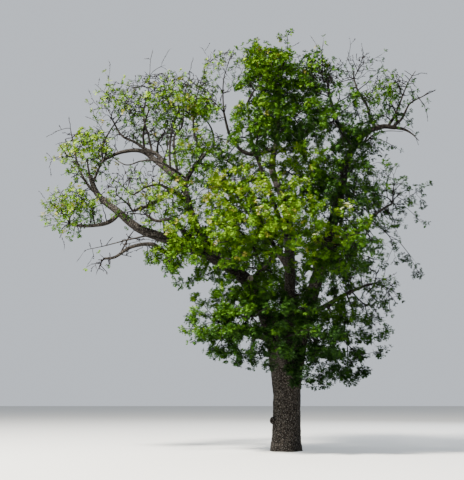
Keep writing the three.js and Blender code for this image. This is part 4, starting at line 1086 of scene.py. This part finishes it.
# %% [markdown]
# ## How a mass grows
#
# Each shoot springs from the nearest wood, counted with a share of the way back to the limb, and bends a
# little on its way. This is the source's rule with many more shoots, so the twigs fork as the tree's own do.

# %% Growth
SHOOT_LIFT, SHOOT_BEND, WAY_BACK_WEIGHT = 0.09, 0.55, 0.45
SHORTEST_SHOOT, KINK, CROOK, SHOOT_POINTS = 0.12, 0.07, 0.02, 5
SHOOT_OF_PARENT, SHOOT_ROOT, ROOT_BY_LENGTH, SHOOT_THINNING = 0.8, 0.010, 0.022, 0.6
FIRST_TWIG, LATER_TWIG = 0.05, 0.03
GROWTH_SEED = 700


def grow(index, draw):
    """Grows one mass: its stem, its shoots as places and root radii, and whether each bears leaves."""
    stem_places, stem_radii, stem_length = stem_of(index)
    back = np.linspace(0, stem_length, len(stem_places))
    wood = np.vstack([np.column_stack([stem_places, back, stem_radii])[3:], bough_places(index)])
    steps = np.linspace(0, 1, SHOOT_POINTS)
    shoots, radii, with_leaves = [], [], []
    for tip, thick, leafy in zip(*targets(index, draw)):
        cost = np.linalg.norm(wood[:, :3] - tip, axis=1) + WAY_BACK_WEIGHT * wood[:, 3]
        parent = wood[np.argmin(cost)]
        length = np.linalg.norm(tip - parent[:3])
        if length < SHORTEST_SHOOT:
            continue
        kink = draw.normal(size=3) * KINK * length
        bend = parent[:3] + (tip - parent[:3]) * SHOOT_BEND + UP * SHOOT_LIFT * length + kink
        places = bent(parent[:3], bend, tip, steps)
        places[1:-1] += draw.normal(size=(SHOOT_POINTS - 2, 3)) * CROOK * length
        most = FIRST_TWIG if thick else LATER_TWIG
        root = min(parent[4] * SHOOT_OF_PARENT, most, SHOOT_ROOT + ROOT_BY_LENGTH * length)
        shoots.append(places)
        radii.append(root)
        with_leaves.append(leafy)
        inner = steps[1:-1, None]
        new = [places[1:-1], parent[3] + inner * length, root * (1 - SHOOT_THINNING * inner)]
        wood = np.vstack([wood, np.hstack(new)])
    return (stem_places, stem_radii), np.array(shoots), np.array(radii), np.flatnonzero(with_leaves)


grown = [grow(i, np.random.default_rng(GROWTH_SEED + i)) for i in range(len(MASSES))]
print("twigs", sum(len(shoots) for _, shoots, _, _ in grown))

# %% [markdown]
# ## Twigs as one mesh
#
# Thousands of twigs would be far too many objects, so arrays give every tube's corners at once, and each
# side of the crown becomes one mesh. A twig has three sides and comes to a point.

# %% Twigs
TWIG_SIDES, TIP_RADIUS, POINT_RADIUS, TWIG_TAPER = 3, 0.013, 0.0008, 0.8
NEARLY_UP = UP + np.array([0.01, 0.02, 0])


def mesh_from(name, places, faces):
    """A mesh from an array of places and an array of faces with the same number of corners."""
    mesh = bpy.data.meshes.new(name)
    mesh.vertices.add(len(places))
    mesh.vertices.foreach_set("co", np.ascontiguousarray(places, np.float32).ravel())
    mesh.loops.add(faces.size)
    mesh.loops.foreach_set("vertex_index", np.ascontiguousarray(faces, np.int32).ravel())
    mesh.polygons.add(len(faces))
    mesh.polygons.foreach_set("loop_start", np.arange(len(faces), dtype=np.int32) * faces.shape[1])
    mesh.update(calc_edges=True)
    piece = bpy.data.objects.new(name, mesh)
    bpy.context.scene.collection.objects.link(piece)
    return piece


def tubes(routes, radii):
    """Corners and triangles of many tubes with the same number of rings. The last ring is a point."""
    count, rings, _ = routes.shape
    chord = unit(routes[:, -1] - routes[:, 0])
    across = unit(np.cross(chord, NEARLY_UP))
    over = np.cross(across, chord)
    turn = np.arange(TWIG_SIDES) * 2 * math.pi / TWIG_SIDES
    circle = across[:, None] * np.cos(turn)[None, :, None] + over[:, None] * np.sin(turn)[None, :, None]
    places = routes[:, :, None] + circle[:, None] * radii[:, :, None, None]
    first = np.arange(count) * rings * TWIG_SIDES
    ring = (np.arange(rings - 1) * TWIG_SIDES)[None, :, None, None]
    side = np.arange(TWIG_SIDES)
    after = (side + 1) % TWIG_SIDES
    ahead, ahead_after = side + TWIG_SIDES, after + TWIG_SIDES
    pair = np.stack([side, ahead_after, after, side, ahead, ahead_after], axis=1)
    faces = (first[:, None, None, None] + ring + pair.reshape(1, 1, TWIG_SIDES, 6)).reshape(-1, 3)
    return places.reshape(-1, 3), np.vstack([faces, first[:, None] + side])


def gather(parts):
    """Several sets of corners and faces as one."""
    starts = np.cumsum([0] + [len(places) for places, _ in parts[:-1]])
    places = np.vstack([places for places, _ in parts])
    return places, np.vstack([faces + start for (_, faces), start in zip(parts, starts)])


def twig_radii(roots, rings):
    t = np.linspace(0, 1, rings)
    radii = TIP_RADIUS + (roots[:, None] - TIP_RADIUS) * (1 - t) ** TWIG_TAPER
    radii[:, -1] = POINT_RADIUS
    return radii


left_side = [i for i, row in enumerate(MASSES) if row[0].startswith("left") or row[0] == "arch_end"]
right_side = [i for i in range(len(MASSES)) if i not in left_side]
for name, members in (("twigs_left", left_side), ("twigs_right", right_side)):
    stems = [tubes(grown[i][0][0][None], grown[i][0][1][None]) for i in members]
    shoots = [tubes(grown[i][1], twig_radii(grown[i][2], SHOOT_POINTS)) for i in members]
    twigs = mesh_from(name, *gather(stems + shoots))
    twigs.data.materials.append(twig_bark)
    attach(twigs, "root")
    print(name, len(twigs.data.polygons), "triangles")

# %% [markdown]
# ## One leaf
#
# A service tree's leaf is feathered: pairs of leaflets along a stalk, and one at the end. Two broad pairs
# stand here for its many narrow ones. Each leaflet is a single pointed triangle that sits with its base on
# the stalk and folds up a little, and the stalk arches over. Three leaves with different arches are enough,
# because size, roll and place vary with every copy.

# %% Leaf
LEAFLET_PAIRS = 2
STALK_SHARE, LAST_PAIR = 0.30, 0.64
LEAFLET_LENGTH, LEAFLET_BASE = 0.46, 0.29
LONGEST_AT, SHORTENING = 0.45, 0.6
LEAFLET_AHEAD, LEAFLET_FOLD, END_OVERLAP = 0.5, 0.2, 0.04
ARCHES = (0.14, 0.28, 0.44)


def leaf_shape(arch):
    """A leaf of length one along X, face up along Z: corners, and one triangle for each leaflet."""
    corners = []

    def spine(s):
        return np.array([s, 0, -arch * s * s])

    def leaflet(s, way, length, base):
        corners.extend([spine(s - base / 2), spine(s) + way * length, spine(s + base / 2)])

    for s in np.linspace(STALK_SHARE, LAST_PAIR, LEAFLET_PAIRS):
        length = LEAFLET_LENGTH * (1 - SHORTENING * abs(s - LONGEST_AT))
        for side in (-1, 1):
            way = unit(np.array([LEAFLET_AHEAD, side, LEAFLET_FOLD - arch * s]))
            leaflet(s, way, length, -side * LEAFLET_BASE)
    end, width = spine(LAST_PAIR - END_OVERLAP), np.array([0, LEAFLET_BASE / 2, 0])
    corners.extend([end + width, end - width, spine(1.0)])
    return np.array(corners), np.arange(len(corners)).reshape(-1, 3)


leaf_shapes = [leaf_shape(arch) for arch in ARCHES]
print("faces in a leaf", len(leaf_shapes[0][1]))

# %% [markdown]
# ## Where the sprays sit
#
# Leaves stand in rosettes at the ends of short spurs. Spurs sit at the tip of a twig and along its outer
# part.

# %% Spray places
SPUR_LENGTH, BACK_FROM_TIP = (0.02, 0.11), (0.05, 0.5)
TIP_ASIDE, TIP_UP, SIDE_AHEAD, SIDE_UP = 0.25, 0.25, 0.35, 0.3
SPRAY_SEED = 4000


def on_twigs(shoots, which, t):
    """Places on some twigs, at shares t of their length, and the way that each twig points there."""
    steps = t * (SHOOT_POINTS - 1)
    i = np.minimum(steps.astype(int), SHOOT_POINTS - 2)
    a, b = shoots[which, i], shoots[which, i + 1]
    return a + (b - a) * (steps - i)[:, None], unit(b - a)


def spray_places(index, draw):
    """Where a mass's sprays sit, which way they face, and their spurs."""
    _, shoots, _, leafy = grown[index]
    wanted = MASSES[index][7]
    which = np.resize(draw.permutation(leafy), wanted)
    turn = np.arange(wanted) // len(leafy)
    t = np.where(turn == 0, 1.0, 1 - draw.uniform(*BACK_FROM_TIP, wanted))
    root, ahead = on_twigs(shoots, which, t)
    around = unit(draw.normal(size=root.shape))
    aside = unit(around - ahead * (around * ahead).sum(1)[:, None])
    at_tip, at_side = ahead + TIP_ASIDE * aside + TIP_UP * UP, SIDE_AHEAD * ahead + aside + SIDE_UP * UP
    facing = unit(np.where((t == 1)[:, None], at_tip, at_side))
    spur = draw.uniform(*SPUR_LENGTH, len(root))
    return root, root + facing * spur[:, None], facing


spray_draws = [np.random.default_rng(SPRAY_SEED + i) for i in range(len(MASSES))]
sprays = [spray_places(i, draw) for i, draw in enumerate(spray_draws)]
print("sprays", sum(len(root) for root, _, _ in sprays))

# %% [markdown]
# ## Sprays of leaves
#
# The leaves of a rosette point outwards all round its spur, with their faces up. Each rosette takes one
# green, picked by its mass's tone and by where it sits, with painted light and shade: ones high up and on the
# side towards the key lamp are lighter, ones low down and on the far side deeper.

# %% Sprays
LEAVES_A_SPRAY, LEAF_LENGTH = 7, (0.095, 0.16)
SPIN_SPREAD, OPENING, OUTWARD, LEAF_LIFT = 0.25, (0.5, 1.2), 1.5, 0.1
FACE_UP, FACE_OUT, FACE_SPREAD = 1.2, 0.5, 0.25
# LIGHT_FROM is the way to the key lamp: sprays on that side get a lighter green as painted light, those on the
# far side a deeper one as painted shade
LIGHT_FROM = unit(np.array([-0.62, -0.5, 0.85]))
PAINTED_LIGHT_TONE, TONE_SPREAD = 0.24, 0.08
LIGHTEST, YOUNG, YOUNG_FROM, YOUNG_SHARE = 4, 5, 3, 0.07


def leaves_on(centre, facing, draw):
    """The leaves of some rosettes: root, direction, up side and length of each."""
    count = len(centre)
    round_stalk = np.arange(LEAVES_A_SPRAY) * 2 * math.pi / LEAVES_A_SPRAY
    spin = draw.random(count)[:, None] * 2 * math.pi + round_stalk
    spin = spin + draw.normal(size=spin.shape) * SPIN_SPREAD
    side = unit(np.cross(facing, [0.31, 0.2, 0.93]))
    over = np.cross(side, facing)
    out = side[:, None] * np.cos(spin)[..., None] + over[:, None] * np.sin(spin)[..., None]
    opening = draw.uniform(*OPENING, spin.shape)[..., None]
    way = unit(facing[:, None] + out * opening * OUTWARD + UP * LEAF_LIFT)
    up = UP * FACE_UP + facing[:, None] * FACE_OUT + draw.normal(size=way.shape) * FACE_SPREAD
    up = unit(up - way * (up * way).sum(-1, keepdims=True))
    root = np.repeat(centre[:, None], LEAVES_A_SPRAY, axis=1)
    length = draw.uniform(*LEAF_LENGTH, spin.shape)
    return [values.reshape(-1, *values.shape[2:]) for values in (root, way, up, length)]


def tone_of(index, places, draw):
    """How light a spray's green is: its mass's tone, raised by painted light on the side towards the key lamp
    and lowered by painted shade on the far side.
    """
    out = (places - centres[index]) / reaches[index]
    return MASSES[index][8] + PAINTED_LIGHT_TONE * (out @ LIGHT_FROM) + TONE_SPREAD * draw.normal(size=len(places))


leaves, leaf_greens = [], []
for i, (_, centre, facing) in enumerate(sprays):
    draw = spray_draws[i]
    green = np.clip((tone_of(i, centre, draw) * YOUNG).astype(int), 0, LIGHTEST)
    young = (green >= YOUNG_FROM) & (draw.random(len(green)) < YOUNG_SHARE)
    green = np.where(young, YOUNG, green)
    leaves.append(leaves_on(centre, facing, draw))
    leaf_greens.append(np.repeat(green, LEAVES_A_SPRAY))
leaf_roots, leaf_ways, leaf_ups, leaf_lengths = (np.concatenate([m[k] for m in leaves]) for k in range(4))
leaf_greens = np.concatenate(leaf_greens)
print("leaves", len(leaf_roots), "by green", np.bincount(leaf_greens, minlength=len(GREENS)).tolist())

# %% [markdown]
# ## Leaves as meshes
#
# All the leaves of one green become one mesh, or two where there are very many.

# %% Leaf meshes
MOST_LEAVES = 38000


def leaf_mesh(name, chosen, draw):
    """All the chosen leaves as one mesh."""
    shape_of = draw.integers(0, len(leaf_shapes), len(chosen))
    parts = []
    for k, (corners, faces) in enumerate(leaf_shapes):
        mine = chosen[shape_of == k]
        sides = np.cross(leaf_ups[mine], leaf_ways[mine])
        axes = np.stack([leaf_ways[mine], sides, leaf_ups[mine]], axis=1) * leaf_lengths[mine, None, None]
        places = leaf_roots[mine, None] + corners @ axes
        starts = (np.arange(len(mine)) * len(corners))[:, None, None]
        parts.append((places.reshape(-1, 3), (faces + starts).reshape(-1, 3)))
    return mesh_from(name, *gather(parts))


for green, (name, *_) in enumerate(GREENS):
    chosen = np.flatnonzero(leaf_greens == green)
    for part, start in enumerate(range(0, len(chosen), MOST_LEAVES)):
        some = chosen[start : start + MOST_LEAVES]
        piece = leaf_mesh(f"{name}_{part + 1}", some, np.random.default_rng(green))
        piece.data.materials.append(leaf_materials[green])
        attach(piece, "root")
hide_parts(*["leaves_" + row[0] for row in MASSES])

# %% [markdown]
# ## Spurs and knobs
#
# Every rosette stands on a short spur. Bare twigs have knobs in place of leaves, short thick spurs close
# together, which give the old wood its beaded look.

# %% Spurs
KNOBS_A_TWIG, KNOB_ZONE = 6, (0.1, 0.98)
KNOB_LENGTH, KNOB_AHEAD = (0.02, 0.06), 0.7
SPUR_RADIUS, KNOB_RADIUS = 0.008, 0.018
KNOB_SEED = 6000


def knobs_on(index, draw):
    """The roots and ends of the knobs on a mass's bare twigs."""
    _, shoots, _, leafy = grown[index]
    bare = np.setdiff1d(np.arange(len(shoots)), leafy)
    which = np.repeat(bare, KNOBS_A_TWIG)
    root, ahead = on_twigs(shoots, which, draw.uniform(*KNOB_ZONE, len(which)))
    way = unit(KNOB_AHEAD * ahead + unit(draw.normal(size=root.shape)))
    return root, root + way * draw.uniform(*KNOB_LENGTH, (len(which), 1))


def spikes(roots, ends, radii):
    """Corners and triangles of many pointed spurs with three sides."""
    ahead = unit(ends - roots)
    across = unit(np.cross(ahead, NEARLY_UP))
    over = np.cross(ahead, across)
    ring = [across * np.cos(turn) + over * np.sin(turn) for turn in np.arange(3) * 2 * math.pi / 3]
    places = np.stack([ends, *(roots + side * radii[:, None] for side in ring)], axis=1)
    faces = np.array([[0, 1, 2], [0, 2, 3], [0, 3, 1], [1, 3, 2]]) + 4 * np.arange(len(roots))[:, None, None]
    return places.reshape(-1, 3), faces.reshape(-1, 3)


knobs = [knobs_on(i, np.random.default_rng(KNOB_SEED + i)) for i in range(len(MASSES))]
leaf_spurs = sum(len(root) for root, *_ in sprays)
spur_roots, spur_ends = (np.concatenate([row[k] for row in sprays + knobs]) for k in range(2))
spur_radii = np.where(np.arange(len(spur_roots)) < leaf_spurs, SPUR_RADIUS, KNOB_RADIUS)
spur_piece = mesh_from("spurs", *spikes(spur_roots, spur_ends, spur_radii))
spur_piece.data.materials.append(twig_bark)
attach(spur_piece, "root")
print("spurs", len(spur_roots))

# %% [markdown]
# ## Blossom
#
# A few flat heads of cream flowers sit on the front of the crown. Each head is a low dome of small
# flowers, and each flower a shallow cup of four petals.

# %% Blossom
BLOSSOM_MASSES = {"front_middle": 44, "front_right": 34, "front_left": 14, "left_crest": 6, "left_fan": 5}
FLOWERS_A_HEAD = 9
HEAD_RADIUS, HEAD_LIFT, HEAD_DOME = 0.055, 0.05, 0.03
FLOWER_RADIUS, FLOWER_CUP, PETALS = 0.015, 0.35, 4


def flower_shape():
    """A cup of four petals round a middle: corners, and triangles."""
    turn = np.arange(PETALS) * 2 * math.pi / PETALS
    rim = np.stack([np.cos(turn), np.sin(turn), np.full(PETALS, FLOWER_CUP)], axis=1)
    corners = np.vstack([[0, 0, 0], rim]) * FLOWER_RADIUS
    return corners, np.array([[0, k + 1, (k + 1) % PETALS + 1] for k in range(PETALS)])


def blossom_heads(index, count, draw):
    """Places of flowers on heads at the lightest sprays of a mass."""
    _, centre, facing = sprays[index]
    best = np.argsort(-(centre - centres[index]) @ LIGHT_FROM)[: count * 2]
    chosen = draw.permutation(best)[:count]
    i = np.arange(FLOWERS_A_HEAD)
    spread = np.sqrt((i + 0.5) / FLOWERS_A_HEAD) * HEAD_RADIUS
    height = HEAD_LIFT + HEAD_DOME * (1 - (spread / HEAD_RADIUS) ** 2)
    disc = np.stack([spread * np.cos(i * GOLDEN_ANGLE), spread * np.sin(i * GOLDEN_ANGLE), height], axis=1)
    up = unit(facing[chosen] + UP)
    across = unit(np.cross(up, [0.9, 0.3, 0.1]))
    over = np.cross(up, across)
    axes = np.stack([across, over, up], axis=1)
    return centre[chosen, None] + disc @ axes, axes


corners, petals = flower_shape()
parts = []
names = [row[0] for row in MASSES]
for mass, count in BLOSSOM_MASSES.items():
    draw = np.random.default_rng(names.index(mass))
    places, axes = blossom_heads(names.index(mass), count, draw)
    flowers = places[:, :, None] + (corners @ axes)[:, None]
    flat = flowers.reshape(-1, 3)
    starts = (np.arange(len(flat) // len(corners)) * len(corners))[:, None, None]
    parts.append((flat, (petals + starts).reshape(-1, 3)))
blossom = mesh_from("blossom", *gather(parts))
blossom.data.materials.append(blossom_cream)
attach(blossom, "root")
print("petals", len(blossom.data.polygons))

# %% [markdown]
# ## Hand over
#
# Each piece of wood rides on the one body that a tree has.

# %% Finish
for piece in [trunk, stub, side_boughs, *boughs.values()]:
    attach(piece, "root")
